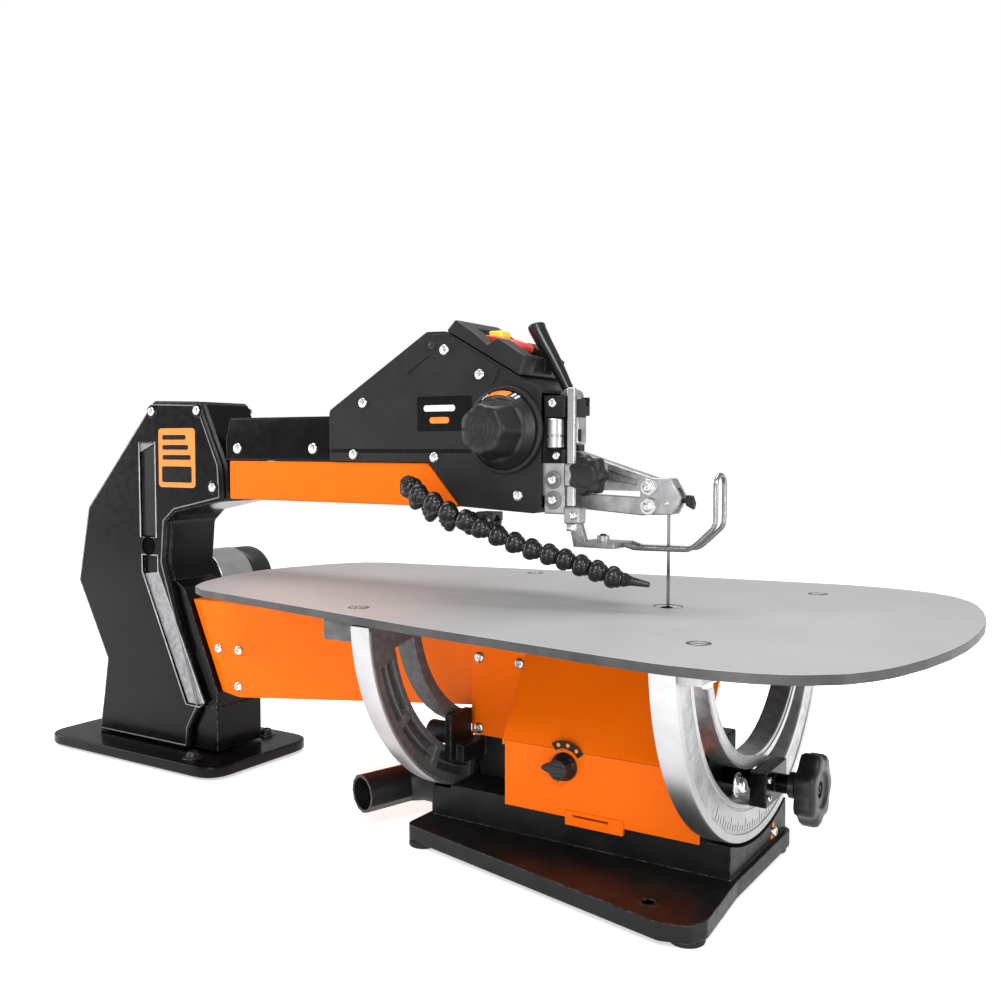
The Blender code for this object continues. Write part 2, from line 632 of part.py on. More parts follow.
def build_access_door():
    outline = [(-106, CREASE_Z - GAP), (54, CREASE_Z - GAP), (54, DOOR_BOTTOM),
               (-106, DOOR_BOTTOM)]
    door = prism("access_door", outline, "xz", BULGE_Y - SHEET, BULGE_Y, "orange")
    tab = box("door_tab", (-52, -4), (BULGE_Y - 3.6, BULGE_Y), (DOOR_HINGE_Z, -149), group=TOOLS)
    fuse(door, tab)
    cut(door, cutter_rod("latch_way", flat(LATCH, -75), flat(LATCH, -60), 4.3,
                         count=16),
        cutter_box("tab_slit", (-46, -16), (-74, -60), (-153.5, -152)))
    hinge_on(door, 0, BULGE_Y - SHEET, DOOR_HINGE_Z)
    latch = rod("door_latch", flat(LATCH, -68 - GAP), flat(LATCH, -80), 10.5,
                "black_plastic", count=24, end_radius=9.0)
    pointer = box("latch_pointer", (LATCH[0] - 14, LATCH[0]), (-79, -70),
                  (LATCH[1] - 2.5, LATCH[1] + 2.5), group=TOOLS)
    stem = rod("latch_stem", flat(LATCH, -70), flat(LATCH, -60), 3.8, count=16,
               group=TOOLS)
    fuse(latch, pointer, stem)
    hinge_on(latch, *flat(LATCH, -68))


# ---------------------------------------------------------------- upper arm and head
def build_upper_arm():
    black = [(ARM_REAR, ARM_SPLIT), (ARM_REAR, ARM_TOP), (-240, ARM_TOP), (-240, ARM_SPLIT)]
    housing = prism("upper_arm_housing", black, "xz", -ARM_HALF, ARM_HALF, "gloss_black", 1.5)
    cut(housing, cutter_box("arm_hollow", (-470, -200), (-ARM_HALF + 3, ARM_HALF - 3),
                            (100, ARM_TOP - 3)))
    orange = [(ARM_REAR + 5, ARM_BOTTOM), (ARM_REAR + 5, ARM_SPLIT - GAP),
              (-206.5, ARM_SPLIT - GAP), (-176, 75), (-178, ARM_BOTTOM)]
    cover = prism("upper_arm_cover", orange, "xz", -ARM_HALF, ARM_HALF, "orange", 1.0)
    cut(cover, cutter_box("cover_hollow", (-470, -150), (-ARM_HALF + 2, ARM_HALF - 2),
                          (ARM_BOTTOM + 2, 120)))


def build_head():
    head = prism("head_cover", fillet(HEAD, 5), "xz", -HEAD_HALF, HEAD_HALF, "charcoal", 1.5)
    cut(head, cutter_prism("head_cavity", HEAD_CAVITY, "xz", -ARM_HALF - 0.4, ARM_HALF + 0.4),
        cutter_prism("head_groove", [(-320, 121), (-150, 121), (-150, 117.5), (-320, 117.5)],
                     "xz", -HEAD_HALF - 1, -HEAD_HALF + 1))
    switch = prism("switch_box", SWITCH_BOX, "xz", -SWITCH_HALF, SWITCH_HALF,
                   "black_plastic", 1.2)
    cut(switch, cutter_prism("switch_trough", SWITCH_TROUGH, "xz", -15, 15))
    paddle = prism("switch_paddle", PADDLE, "xz", -14, 14, "red_plastic", 0.6)
    cut(paddle, cutter_box("key_way", (-160.5, -147.5), (-8.4, 8.4), (200, 240)))
    hinge_on(paddle, -165, 0, 215)
    box("switch_key", (-160, -148), (-8, 8), (211, 219.5), "yellow_plastic", 0.8)


def build_dial():
    x, z = DIAL_CENTRE
    ring = rod("speed_dial_ring", (x, -HEAD_HALF - GAP, z), (x, -HEAD_HALF - 6, z), 35.5,
               "black_plastic", count=48, end_radius=34.0)
    dial = rod("speed_dial", (x, -HEAD_HALF - 6 - GAP, z), (x, -50, z), 28.5, "black_plastic",
               count=48, end_radius=26.5)
    grip = rod("dial_grip", (x, -49, z), (x, -71, z), 24.5, count=14, end_radius=18.5,
               group=TOOLS)
    fuse(dial, grip)
    hinge_on(dial, x, -50, z)
    return ring


def build_head_frame():
    side = [(-112, 84), (-112, 116), (-100, 126), (-93.6, 140), (-93.6, 160), (-75, 160),
            (-75, 70), (-93.6, 70), (-93.6, 84)]
    frame = prism("head_frame", side, "xz", -30.5, -17, "cast_aluminium", 1.0)
    slim = [(min(x, -88), z) for x, z in side]
    far = prism("far_cheek", slim, "xz", 17, 28, group=TOOLS)
    bridge = box("cheek_bridge", (-93.6, -75), (-30, 12), (148, 163), group=TOOLS)
    rear_bridge = box("cheek_rear_bridge", (-93.6, -88), (-30, 27), (146, 161), group=TOOLS)
    pin = rod("upper_pivot", flat(UPPER_PIVOT, -20), flat(UPPER_PIVOT, 20), 4.0, group=TOOLS)
    fuse(frame, far, bridge, rear_bridge, pin)
    cut(frame, cutter_box("cylinder_seat", (-92, -70), (-40, -21), (121, 146)),
        cutter_box("lever_slot", (-100, -70), (-9.8, 9.8), (155.5, 180)))
    rod("tension_cylinder", (-84, -29, 122), (-84, -29, 145), 7.0, "bright_steel")
    cowl = box("head_front_block", (-74.7, -68.5), (-21, -5), (124.5, 161), "charcoal", 1.5)
    return cowl


def build_tension_lever():
    """Cam hub with a bent round handle that swells towards its tip."""
    hub = rod("tension_lever", (-85, -9, 163), (-85, 9, 163), 6.5, "black_plastic")
    bends = [(-85, 0, 163), (-91, 0, 174), (-96.5, 0, 184), (-103, 0, 195), (-117.5, 0, 220)]
    radii = (4.4, 4.6, 5.2, 5.8, 6.8)
    for index in range(len(radii) - 1):
        start, end = Vector(bends[index]), Vector(bends[index + 1])
        reach = (end - start).normalized() * 1.5
        fuse(hub, rod(f"lever_stem_{index + 1}", tuple(start - reach), tuple(end), radii[index],
                      end_radius=radii[index + 1], count=20, group=TOOLS))
    fuse(hub, rod("lever_tip", (-116.6, 0, 217.5), (-119.6, 0, 226.5), 6.6, end_radius=4.2,
                  count=20, group=TOOLS))
    hinge_on(hub, -85, 0, 163)


def build_hold_down():
    x, y, half_x, half_y = -70.5, -27.0, 3.2, 2.0
    bar = box("hold_down_rod", (x - half_x, x + half_x), (y - half_y, y + half_y),
              (76 + GAP, 169), "bright_steel", 0.5)
    clamp = box("hold_down_clamp", (-74.7, -43), (-31, -17.5), (92, 110),
                "cast_aluminium", 1.0)
    cut(clamp, cutter_box("rod_way", (x - half_x - 0.4, x + half_x + 0.4),
                          (y - half_y - 0.4, y + half_y + 0.4), (80, 120)),
        cutter_rod("stud_way", (KNOB_X, -40, 101), (KNOB_X, -22, 101), 3.4))
    knob = prism("hold_down_knob", star((KNOB_X, 101), 16.5, 7, 3.0), "xz", -43.5,
                 -31 - GAP, "black_plastic", 1.5)
    fuse(knob, rod("knob_stem", (KNOB_X, -34, 101), (KNOB_X, -23, 101), 3.0, group=TOOLS))
    hinge_on(knob, KNOB_X, -38, 101)
    bracket = box("foot_bracket", (-74.6, -61), (-32.5, -20), (63, 76), "cast_aluminium", 1.0)
    web = [(-74, 66), (-64, 66), (-59, 50), (-59, 44.5), (-69, 44.5)]
    fuse(bracket, prism("bracket_web", web, "xz", -26, -20.5, group=TOOLS),
         box("bracket_arm", (-69, -34), (-26, 12), (44.5, 48.5), group=TOOLS),
         rod("bracket_stud", (-52, -8, 48), (-52, -8, 53), 5.0, group=TOOLS))
    build_wire_foot()
    return bar


def build_wire_foot():
    side = [(-33.4, 47), (-23, 44.6), (17, 45.4), (23, 47.5), (38, 61), (41, 66), (41, 94)]
    near = [(x, -9, z) for x, z in side]
    top = [(41, 9 * math.cos(a), 94 + 8 * math.sin(a))
           for a in (math.radians(180 - 30 * index) for index in range(1, 6))]
    far = [(x, 9, z) for x, z in reversed(side)]
    wire("wire_foot", near + top + far, 1.7, "bright_steel")


def build_hose():
    """Jointed air hose: swivel fitting, two runs of ball sections and a nozzle."""
    mount = rod("hose_mount", (-150, -22, 69), (-150, -22, 56), 8.0, "black_plastic", count=20)
    fuse(mount, box("hose_lug", (-158, -142), (-30, -14), (62, 69.5), group=TOOLS))
    first = [(-166.5, -29.5, 60), (-180, -38, 63), (-192, -46, 71), (-201, -53, 81),
             (-203, -61, 91)]
    second = [(-187, -68, 84), (-172.5, -68, 77.5), (-158, -68, 70.5), (-143, -65.5, 64.4),
              (-130, -63, 58.5), (-116, -60, 53), (-102, -57.6, 48), (-88, -55, 43.5),
              (-74, -52.4, 40), (-61.5, -49.8, 36.5), (-49, -47.2, 32.5),
              (-36.7, -44.6, 28.8), (-24.5, -42, 24.6)]
    hose_run("hose_rear", first)
    hose_run("hose_front", second)
    nozzle = rod("hose_nozzle", (-19, -41, 23.9), (0.5, -36, 20.6), 5.5, "black_plastic",
                 end_radius=1.8, count=18)
    hinge_on(nozzle, -24.5, -42, 24.6)
    return mount


def hose_run(name, points):
    """Ball sections strung on a thin core, fused into one flexible run."""
    core = wire(name, points, 4.4, "black_plastic", resolution=3)
    for index, place in enumerate(points):
        here = Vector(place)
        after = Vector(points[min(index + 1, len(points) - 1)])
        before = Vector(points[max(index - 1, 0)])
        along = (after - before).normalized()
        ball = rod(f"{name}_ball_{index + 1}", tuple(here - along * 4.6),
                   tuple(here + along * 4.6), 7.6, count=12, end_radius=5.4, group=TOOLS)
        fuse(core, ball)
    hinge_on(core, *points[0])


clear_scene()
PARTS = new_collection(COLLECTION)
TOOLS = new_collection("Tools")
MATERIALS = make_materials()
for build in (build_table, build_trunnions, build_base, build_dust_port, build_pedestal,
              build_tilt_lock, build_tower, build_tower_foot, build_motor,
              build_rear_rocker, build_upper_rocker, build_lower_rocker, build_blade,
              build_housing, build_side_cover, build_access_door, build_upper_arm, build_head,
              build_dial, build_head_frame, build_tension_lever, build_hold_down, build_hose):
    build()
build_push_rod("upper_push_rod", UPPER_PIVOT[0], REAR_PIVOT[1] + REAR_ARM)
build_push_rod("lower_push_rod", LOWER_PIVOT[0], REAR_PIVOT[1] - REAR_ARM)
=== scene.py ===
"""Looks of a parallel-arm scroll saw: finishes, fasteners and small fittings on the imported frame.

Lengths are millimetres about the blade line at the table top, with X to the front,
Y to the far side and Z up, as in the part itself.
"""
import json
import math

import bmesh
import bpy
from mathutils import Matrix, Vector

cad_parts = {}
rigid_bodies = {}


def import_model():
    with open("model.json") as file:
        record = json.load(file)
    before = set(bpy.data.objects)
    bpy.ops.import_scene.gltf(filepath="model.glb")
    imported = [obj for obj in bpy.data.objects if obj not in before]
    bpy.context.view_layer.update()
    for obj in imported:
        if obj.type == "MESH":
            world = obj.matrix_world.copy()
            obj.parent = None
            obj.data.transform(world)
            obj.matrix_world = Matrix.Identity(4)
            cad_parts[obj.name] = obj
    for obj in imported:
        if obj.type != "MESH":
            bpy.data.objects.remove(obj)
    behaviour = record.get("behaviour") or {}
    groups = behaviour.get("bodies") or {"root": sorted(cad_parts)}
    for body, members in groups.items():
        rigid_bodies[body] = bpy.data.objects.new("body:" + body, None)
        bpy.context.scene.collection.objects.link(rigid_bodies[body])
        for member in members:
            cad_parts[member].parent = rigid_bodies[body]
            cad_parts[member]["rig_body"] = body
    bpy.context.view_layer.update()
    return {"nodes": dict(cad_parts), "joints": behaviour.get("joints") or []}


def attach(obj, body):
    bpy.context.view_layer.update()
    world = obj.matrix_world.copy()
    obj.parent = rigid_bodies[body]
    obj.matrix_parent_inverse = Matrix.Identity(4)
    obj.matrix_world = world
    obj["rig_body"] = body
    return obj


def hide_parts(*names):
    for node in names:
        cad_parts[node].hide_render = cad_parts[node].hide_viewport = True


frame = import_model()
JOINTS = {joint["name"]: joint for joint in frame["joints"]}
BLADE_LINE = Vector(JOINTS["table_tilt"]["pos_m"])
MM = 0.001

# rings under the table, about the tilt axis
RING_RADIUS = 163.5
FRONT_RING = (57.0, 74.0)       # rear face, front face
REAR_RING = (-180.0, -163.0)
SCALE_FACE = FRONT_RING[1] + 0.4
SCALE_RADIUS = 155.0
SCALE_START, SCALE_STEP, SCALE_MARKS = 234, 2, 25

# places that several pieces share
SIDE_FACE = 34.0                # half width of the tower and of the head
FLANGE_FACE = 35.0
ARM_FACE = 31.0
HOUSING_FACE = 21.0
DOOR_FACE = -68.2
LOCK_Z = -123.0
LATCH = (-53, -116.5)
DIAL = (-127.0, 136.5)
LEVER_PIVOT = (-85, 0, 163)
MOTOR_CAP_FACE = 112.0

# fineness of the finished meshes
WELD = 2e-6
FLAT_ANGLE = 0.6
BEVEL_ANGLE = 30.0
SMOOTH_ANGLE = 35.0
KNOB_SMOOTH = 40.0
TUBE_SMOOTH = 50.0
KNOB_SIDES = 112
HOSE_SIDES = 40

# studio and camera
FLOOR_GLOW = 0.58
SURROUND_GLOW = 0.5
LENS, SENSOR = 38.1, 36.0
CAMERA_PLACE = (323.9, -757.2, 122.6)
CAMERA_YAW, CAMERA_PITCH, CAMERA_ROLL = 32.21, 2.88, -0.08


def at(x, y, z):
    return BLADE_LINE + Vector((x, y, z)) * MM


# ------------------------------------------------------------------ materials
class Nodes:
    """Small helper around one material's node tree."""

    def __init__(self, name):
        self.material = bpy.data.materials.new(name)
        self.material.use_nodes = True
        self.tree = self.material.node_tree
        self.shader = self.tree.nodes["Principled BSDF"]

    def add(self, kind, **values):
        node = self.tree.nodes.new(kind)
        for key, value in values.items():
            setattr(node, key, value)
        return node

    def join(self, source, target):
        self.tree.links.new(source, target)

    def noise(self, scale, detail=3.0, stretch=(1, 1, 1)):
        place = self.add("ShaderNodeTexCoord")
        turn = self.add("ShaderNodeMapping")
        turn.inputs["Scale"].default_value = stretch
        noise = self.add("ShaderNodeTexNoise")
        noise.inputs["Scale"].default_value = scale
        noise.inputs["Detail"].default_value = detail
        self.join(place.outputs["Object"], turn.inputs["Vector"])
        self.join(turn.outputs["Vector"], noise.inputs["Vector"])
        return noise.outputs["Fac"]

    def spread(self, value, low, high, first=0.3, last=0.7):
        node = self.add("ShaderNodeMapRange")
        node.inputs["From Min"].default_value = first
        node.inputs["From Max"].default_value = last
        node.inputs["To Min"].default_value = low
        node.inputs["To Max"].default_value = high
        self.join(value, node.inputs["Value"])
        return node.outputs["Result"]

    def mix(self, factor, first, second):
        node = self.add("ShaderNodeMix", data_type="RGBA")
        self.join(factor, node.inputs["Factor"])
        for socket, value in ((node.inputs["A"], first), (node.inputs["B"], second)):
            if isinstance(value, tuple):
                socket.default_value = (*value, 1.0)
            else:
                self.join(value, socket)
        return node.outputs["Result"]


def surface(name, colour, accent, rough, metallic=0.0, patch=45.0, grain=(900.0, 0.05),
            brush=None, edge_wear_and_highlight=None, rounding=0.7, gleam=0.5):
    """Finish with colour drift, uneven roughness, fine relief and lighter edges, partly wear and
    partly a painted highlight along the rounded edges.
    """
    nodes = Nodes(name)
    shader = nodes.shader
    shader.inputs["Metallic"].default_value = metallic
    shader.inputs["Specular IOR Level"].default_value = gleam
    drift = nodes.noise(patch, 4.0)
    tint = nodes.mix(nodes.spread(drift, 0.0, 1.0), colour, accent)
    rounded = nodes.add("ShaderNodeBevel", samples=4)
    rounded.inputs["Radius"].default_value = rounding * MM
    # lighter edges: partly wear, partly a painted highlight where rounded edges catch the lamps
    if edge_wear_and_highlight:
        normal = nodes.add("ShaderNodeNewGeometry")
        bend = nodes.add("ShaderNodeVectorMath", operation="DOT_PRODUCT")
        nodes.join(rounded.outputs["Normal"], bend.inputs[0])
        nodes.join(normal.outputs["Normal"], bend.inputs[1])
        edge = nodes.spread(bend.outputs["Value"], 0.85, 0.0, 0.80, 0.985)
        chips = nodes.spread(nodes.noise(260.0, 5.0), 0.0, 1.0, 0.42, 0.62)
        worn_and_highlit = nodes.add("ShaderNodeMath", operation="MULTIPLY")
        nodes.join(edge, worn_and_highlit.inputs[0])
        nodes.join(chips, worn_and_highlit.inputs[1])
        tint = nodes.mix(worn_and_highlit.outputs["Value"], tint, edge_wear_and_highlight)
    nodes.join(tint, shader.inputs["Base Color"])
    if brush:
        lines = nodes.noise(brush[0], 5.0, brush[1])
        gloss = nodes.spread(lines, rough[0], rough[1], 0.35, 0.65)
        relief, strength = lines, brush[2]
    else:
        gloss = nodes.spread(nodes.noise(patch * 2.7, 5.0), rough[0], rough[1])
        relief, strength = nodes.noise(grain[0], 3.0), grain[1]
    nodes.join(gloss, shader.inputs["Roughness"])
    bump = nodes.add("ShaderNodeBump")
    bump.inputs["Strength"].default_value = strength
    bump.inputs["Distance"].default_value = 0.4 * MM
    nodes.join(relief, bump.inputs["Height"])
    nodes.join(rounded.outputs["Normal"], bump.inputs["Normal"])
    nodes.join(bump.outputs["Normal"], shader.inputs["Normal"])
    return nodes.material


# gloss black paint; its light grey edge colour is a painted highlight along the edges
GLOSS_BLACK = surface("gloss_black_paint", (0.0015, 0.0015, 0.0018), (0.0035, 0.0035, 0.004),
                      (0.17, 0.27), grain=(700.0, 0.09), edge_wear_and_highlight=(0.28, 0.28, 0.285),
                      rounding=1.5, gleam=0.14)
CAST_BLACK = surface("semi_gloss_black_casting", (0.004, 0.004, 0.0045), (0.01, 0.01, 0.0105),
                     (0.3, 0.44), grain=(1100.0, 0.2), edge_wear_and_highlight=(0.16, 0.16, 0.165), rounding=1.5,
                     gleam=0.2)
CHARCOAL = surface("charcoal_moulding", (0.008, 0.008, 0.0085), (0.013, 0.013, 0.0135),
                   (0.36, 0.5), patch=30.0, grain=(2200.0, 0.16), edge_wear_and_highlight=(0.07, 0.07, 0.07),
                   gleam=0.25)
ORANGE = surface("orange_powder_coat", (0.9, 0.135, 0.0), (0.92, 0.15, 0.001),
                 (0.36, 0.48), patch=22.0, grain=(1300.0, 0.1), edge_wear_and_highlight=(1.0, 0.36, 0.06),
                 rounding=0.6, gleam=0.1)
CAST = surface("cast_aluminium", (0.5, 0.5, 0.51), (0.3, 0.3, 0.31), (0.28, 0.46), 0.9,
               patch=110.0, grain=(900.0, 0.4))
# rear ring's cast aluminium darkened as painted shade, with light edges as a painted highlight
SHADED_WEB = surface("shaded_cast_web", (0.11, 0.11, 0.112), (0.06, 0.06, 0.062), (0.46, 0.6), 0.15,
              patch=160.0, grain=(900.0, 0.4), edge_wear_and_highlight=(0.38, 0.38, 0.385), rounding=1.2)
GROOVE = surface("rough_cast_groove", (0.34, 0.34, 0.35), (0.2, 0.2, 0.21), (0.34, 0.5), 0.85,
                 patch=230.0, grain=(1500.0, 0.4))
DARK_CAST = surface("shadowed_cast_aluminium", (0.26, 0.26, 0.265), (0.17, 0.17, 0.175),
                    (0.42, 0.56), 0.6, patch=140.0, grain=(900.0, 0.3))
MACHINED = surface("machined_aluminium", (0.52, 0.52, 0.53), (0.44, 0.44, 0.45), (0.3, 0.42),
                   1.0, brush=(500.0, (8, 1, 1), 0.06), rounding=0.4)
TABLE = surface("ground_table_steel", (0.42, 0.42, 0.423), (0.47, 0.47, 0.47), (0.42, 0.5),
                0.5, patch=9.0, brush=(240.0, (1, 14, 1), 0.012), rounding=0.8)
# darker copy of the table steel for faces not facing up: painted shade
TABLE_SIDE_SHADE = surface("shaded_table_sides", (0.055, 0.055, 0.057), (0.085, 0.085, 0.087),
                     (0.34, 0.48), 0.8, patch=60.0, brush=(380.0, (1, 1, 9), 0.06),
                     rounding=0.4)
STEEL = surface("bright_steel", (0.62, 0.62, 0.63), (0.5, 0.5, 0.51), (0.16, 0.27), 1.0,
                brush=(420.0, (1, 1, 6), 0.05), edge_wear_and_highlight=(0.8, 0.8, 0.8), rounding=0.4)
WIRE = surface("bent_wire_steel", (0.34, 0.34, 0.345), (0.24, 0.24, 0.245), (0.24, 0.34), 1.0,
               brush=(420.0, (1, 1, 6), 0.05), rounding=0.3)
ZINC = surface("zinc_screw", (0.78, 0.78, 0.77), (0.62, 0.62, 0.61), (0.18, 0.3), 1.0,
               patch=300.0, grain=(1500.0, 0.06), rounding=0.3)
BLACK_OXIDE = surface("black_oxide_screw", (0.05, 0.05, 0.052), (0.03, 0.03, 0.031),
                      (0.25, 0.4), 0.7, patch=300.0, edge_wear_and_highlight=(0.25, 0.25, 0.25), rounding=0.3)
BLACK_PLASTIC = surface("black_plastic", (0.006, 0.006, 0.006), (0.011, 0.011, 0.011),
                        (0.32, 0.45), patch=60.0, grain=(1800.0, 0.12),
                        edge_wear_and_highlight=(0.06, 0.06, 0.06), rounding=0.8, gleam=0.35)
HOSE_BLACK = surface("glossy_black_acetal", (0.004, 0.004, 0.004), (0.008, 0.008, 0.008),
                     (0.2, 0.3), patch=90.0, grain=(300.0, 0.02), rounding=0.4, gleam=0.45)
RUBBER = surface("black_rubber", (0.008, 0.008, 0.008), (0.014, 0.014, 0.013), (0.6, 0.8),
                 grain=(1500.0, 0.3), gleam=0.3)
MOTOR = surface("grey_motor_paint", (0.42, 0.42, 0.425), (0.5, 0.5, 0.505), (0.16, 0.24),
                0.95, grain=(900.0, 0.08))
RED = surface("red_paddle", (0.70, 0.025, 0.012), (0.82, 0.05, 0.02), (0.28, 0.4),
              patch=80.0, grain=(1500.0, 0.06), edge_wear_and_highlight=(0.9, 0.2, 0.12))
YELLOW = surface("yellow_key", (0.88, 0.66, 0.03), (0.95, 0.75, 0.08), (0.3, 0.4), patch=80.0,
                 grain=(1500.0, 0.06), edge_wear_and_highlight=(1.0, 0.9, 0.4))
# near-black used for print and as painted shade in slots, gaps and vent holes
PRINT_AND_SHADE_BLACK = surface("black_print_and_painted_shade", (0.001, 0.001, 0.001), (0.002, 0.002, 0.002), (0.22, 0.3),
                patch=80.0, grain=(3000.0, 0.03), rounding=0.2, gleam=0.2)
RECESS = surface("shadowed_recess", (0.0008, 0.0008, 0.0008), (0.0015, 0.0015, 0.0015),
                 (0.7, 0.9), gleam=0.04)
WHITE_INK = surface("white_ink", (0.78, 0.78, 0.77), (0.7, 0.7, 0.69), (0.4, 0.5), patch=200.0,
                    grain=(3000.0, 0.03), rounding=0.1)
ORANGE_INK = surface("orange_ink", (1.0, 0.24, 0.015), (0.92, 0.2, 0.01), (0.4, 0.5),
                     patch=200.0, grain=(3000.0, 0.03), rounding=0.1)


# ------------------------------------------------------------------ shapes
def into_object(name, work, material, smooth=SMOOTH_ANGLE):
    bmesh.ops.recalc_face_normals(work, faces=work.faces)
    mesh = bpy.data.meshes.new(name)
    work.to_mesh(mesh)
    work.free()
    mesh.shade_smooth()
    mesh.set_sharp_from_angle(angle=math.radians(smooth))
    mesh.materials.append(material)
    item = bpy.data.objects.new(name, mesh)
    bpy.context.scene.collection.objects.link(item)
    return item


def bevel(item, width, segments=2):
    rounding = item.modifiers.new("edges", "BEVEL")
    rounding.width = width * MM
    rounding.segments = segments
    rounding.limit_method = "ANGLE"
    rounding.angle_limit = math.radians(BEVEL_ANGLE)
    rounding.harden_normals = True
    flatten = item.modifiers.new("flat_faces", "WEIGHTED_NORMAL")
    flatten.keep_sharp = True
    flatten.weight = 100
    return item


def fit(item, body, slot, *nodes):
    """Hang a finished piece on its body and hide the nodes it stands for; the slot argument is not
    used.
    """
    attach(item, body)
    if nodes:
        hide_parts(*nodes)
    return item


def refine(node, material, width=0.0, segments=2):
    """Smooth-shaded, edge-rounded copy of a node, standing in the same place."""
    source = frame["nodes"][node]
    work = bmesh.new()
    work.from_mesh(source.data)
    bmesh.ops.remove_doubles(work, verts=work.verts, dist=WELD)
    bmesh.ops.dissolve_limit(work, angle_limit=math.radians(FLAT_ANGLE), verts=work.verts,
                             edges=work.edges)
    item = into_object(node + "_finish", work, material)
    if width:
        bevel(item, width, segments)
    slot = source.data.materials[0].name.split(".")[0]
    return fit(item, source["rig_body"], slot, node)


def two_tone(item, level, upper):
    """Give everything above one height a second finish."""
    work = bmesh.new()
    work.from_mesh(item.data)
    bmesh.ops.bisect_plane(work, geom=work.verts[:] + work.edges[:] + work.faces[:],
                           plane_co=at(0, 0, level), plane_no=(0, 0, 1))
    for face in work.faces:
        if face.calc_center_median().z > at(0, 0, level).z:
            face.material_index = 1
    work.to_mesh(item.data)
    work.free()
    item.data.materials.append(upper)


def turn_to(axis):
    return Vector(axis).normalized().to_track_quat("Z", "Y").to_matrix().to_4x4()


def turned(name, rings, centre, axis, material, count=48, smooth=SMOOTH_ANGLE):
    """Closed body of rings about an axis; a ring is (radius or outline function, height)."""
    work = bmesh.new()
    place = Matrix.Translation(at(*centre)) @ turn_to(axis)
    loops = []
    for radius, height in rings:
        if radius == 0:
            loops.append([work.verts.new(place @ Vector((0, 0, height * MM)))])
            continue
        loop = []
        for index in range(count):
            angle = 2 * math.pi * index / count
            reach = radius(angle) if callable(radius) else radius
            spot = Vector((math.cos(angle) * reach, math.sin(angle) * reach, height)) * MM
            loop.append(work.verts.new(place @ spot))
        loops.append(loop)
    for first, second in zip(loops, loops[1:]):
        for index in range(count):
            after = (index + 1) % count
            corners = [first[index % len(first)], first[after % len(first)],
                       second[after % len(second)], second[index % len(second)]]
            work.faces.new(list(dict.fromkeys(corners)))
    for loop in (loops[0], loops[-1]):
        if len(loop) > 1:
            work.faces.new(loop)
    return into_object(name, work, material, smooth)


def lobed(radius, depth, lobes):
    return lambda angle: radius - depth * (0.5 - 0.5 * math.cos(lobes * angle))


def plus(radius, width):
    """Outline of a cross recess."""
    def reach(angle):
        long, short = sorted((abs(math.cos(angle)), abs(math.sin(angle))), reverse=True)
        return min(radius / long, width / max(short, 1e-6))
    return reach


def hexagon(radius):
    return lambda angle: radius / math.cos((angle % (math.pi / 3)) - math.pi / 6)


def screw(name, centre, axis, radius, body="frame", drive="cross", material=None, height=None,
          washer=None):
    """Domed screw head with a recess, on an optional washer."""
    tall = height or radius * 0.55
    mouth = plus(radius * 0.52, radius * 0.13) if drive == "cross" else hexagon(radius * 0.45)
    base = 0.9 if washer else 0.0
    rings = []
    if washer:
        rings += [(washer, -0.4), (washer, 0.5), (washer - 0.4, 0.9)]
    rings += [(radius, base - (0 if washer else 0.4)), (radius, base + tall * 0.35),
              (radius * 0.93, base + tall * 0.62), (radius * 0.78, base + tall * 0.88),
              (radius * 0.6, base + tall), (mouth, base + tall),
              (mouth, base + tall * 0.35), (0, base + tall * 0.3)]
    item = turned(name, rings, centre, axis, material or ZINC, 48)
    return fit(item, body, "bright_steel")


def plate(name, outline, plane, low, high, material, width=0.0, segments=2):
    """Flat outline in one plane between two levels."""
    order = {"xy": (0, 1, 2), "xz": (0, 2, 1), "yz": (1, 2, 0)}[plane]
    work = bmesh.new()
    loops = []
    for level in (low, high):
        loop = []
        for a, b in outline:
            spot = [0.0, 0.0, 0.0]
            for slot, value in zip(order, (a, b, level)):
                spot[slot] = value
            loop.append(work.verts.new(at(*spot)))
        loops.append(loop)
        work.faces.new(loop)
    count = len(outline)
    for index in range(count):
        after = (index + 1) % count
        work.faces.new([loops[0][index], loops[0][after], loops[1][after], loops[1][index]])
    item = into_object(name, work, material)
    return bevel(item, width, segments) if width else item


def rounded(x, z, radius):
    """Rectangle outline with rounded corners."""
    steps = 4
    out = []
    corners = [(x[1] - radius, z[1] - radius, 0), (x[0] + radius, z[1] - radius, 90),
               (x[0] + radius, z[0] + radius, 180), (x[1] - radius, z[0] + radius, 270)]
    for cx, cz, start in corners:
        for step in range(steps + 1):
            turn = math.radians(start + 90 * step / steps)
            out.append((cx + radius * math.cos(turn), cz + radius * math.sin(turn)))
    return out


def smooth_path(points, steps):
    """Catmull-Rom curve through the points."""
    spots = [Vector(p) for p in points]
    count = len(spots)
    out = []
    for index in range(count - 1):
        a, b = spots[max(index - 1, 0)], spots[index]
        c, d = spots[index + 1], spots[min(index + 2, count - 1)]
        for step in range(steps):
            t = step / steps
            out.append(0.5 * (2 * b + (c - a) * t + (2 * a - 5 * b + 4 * c - d) * t * t
                              + (3 * b - a - 3 * c + d) * t ** 3))
    out.append(spots[-1])
    return out


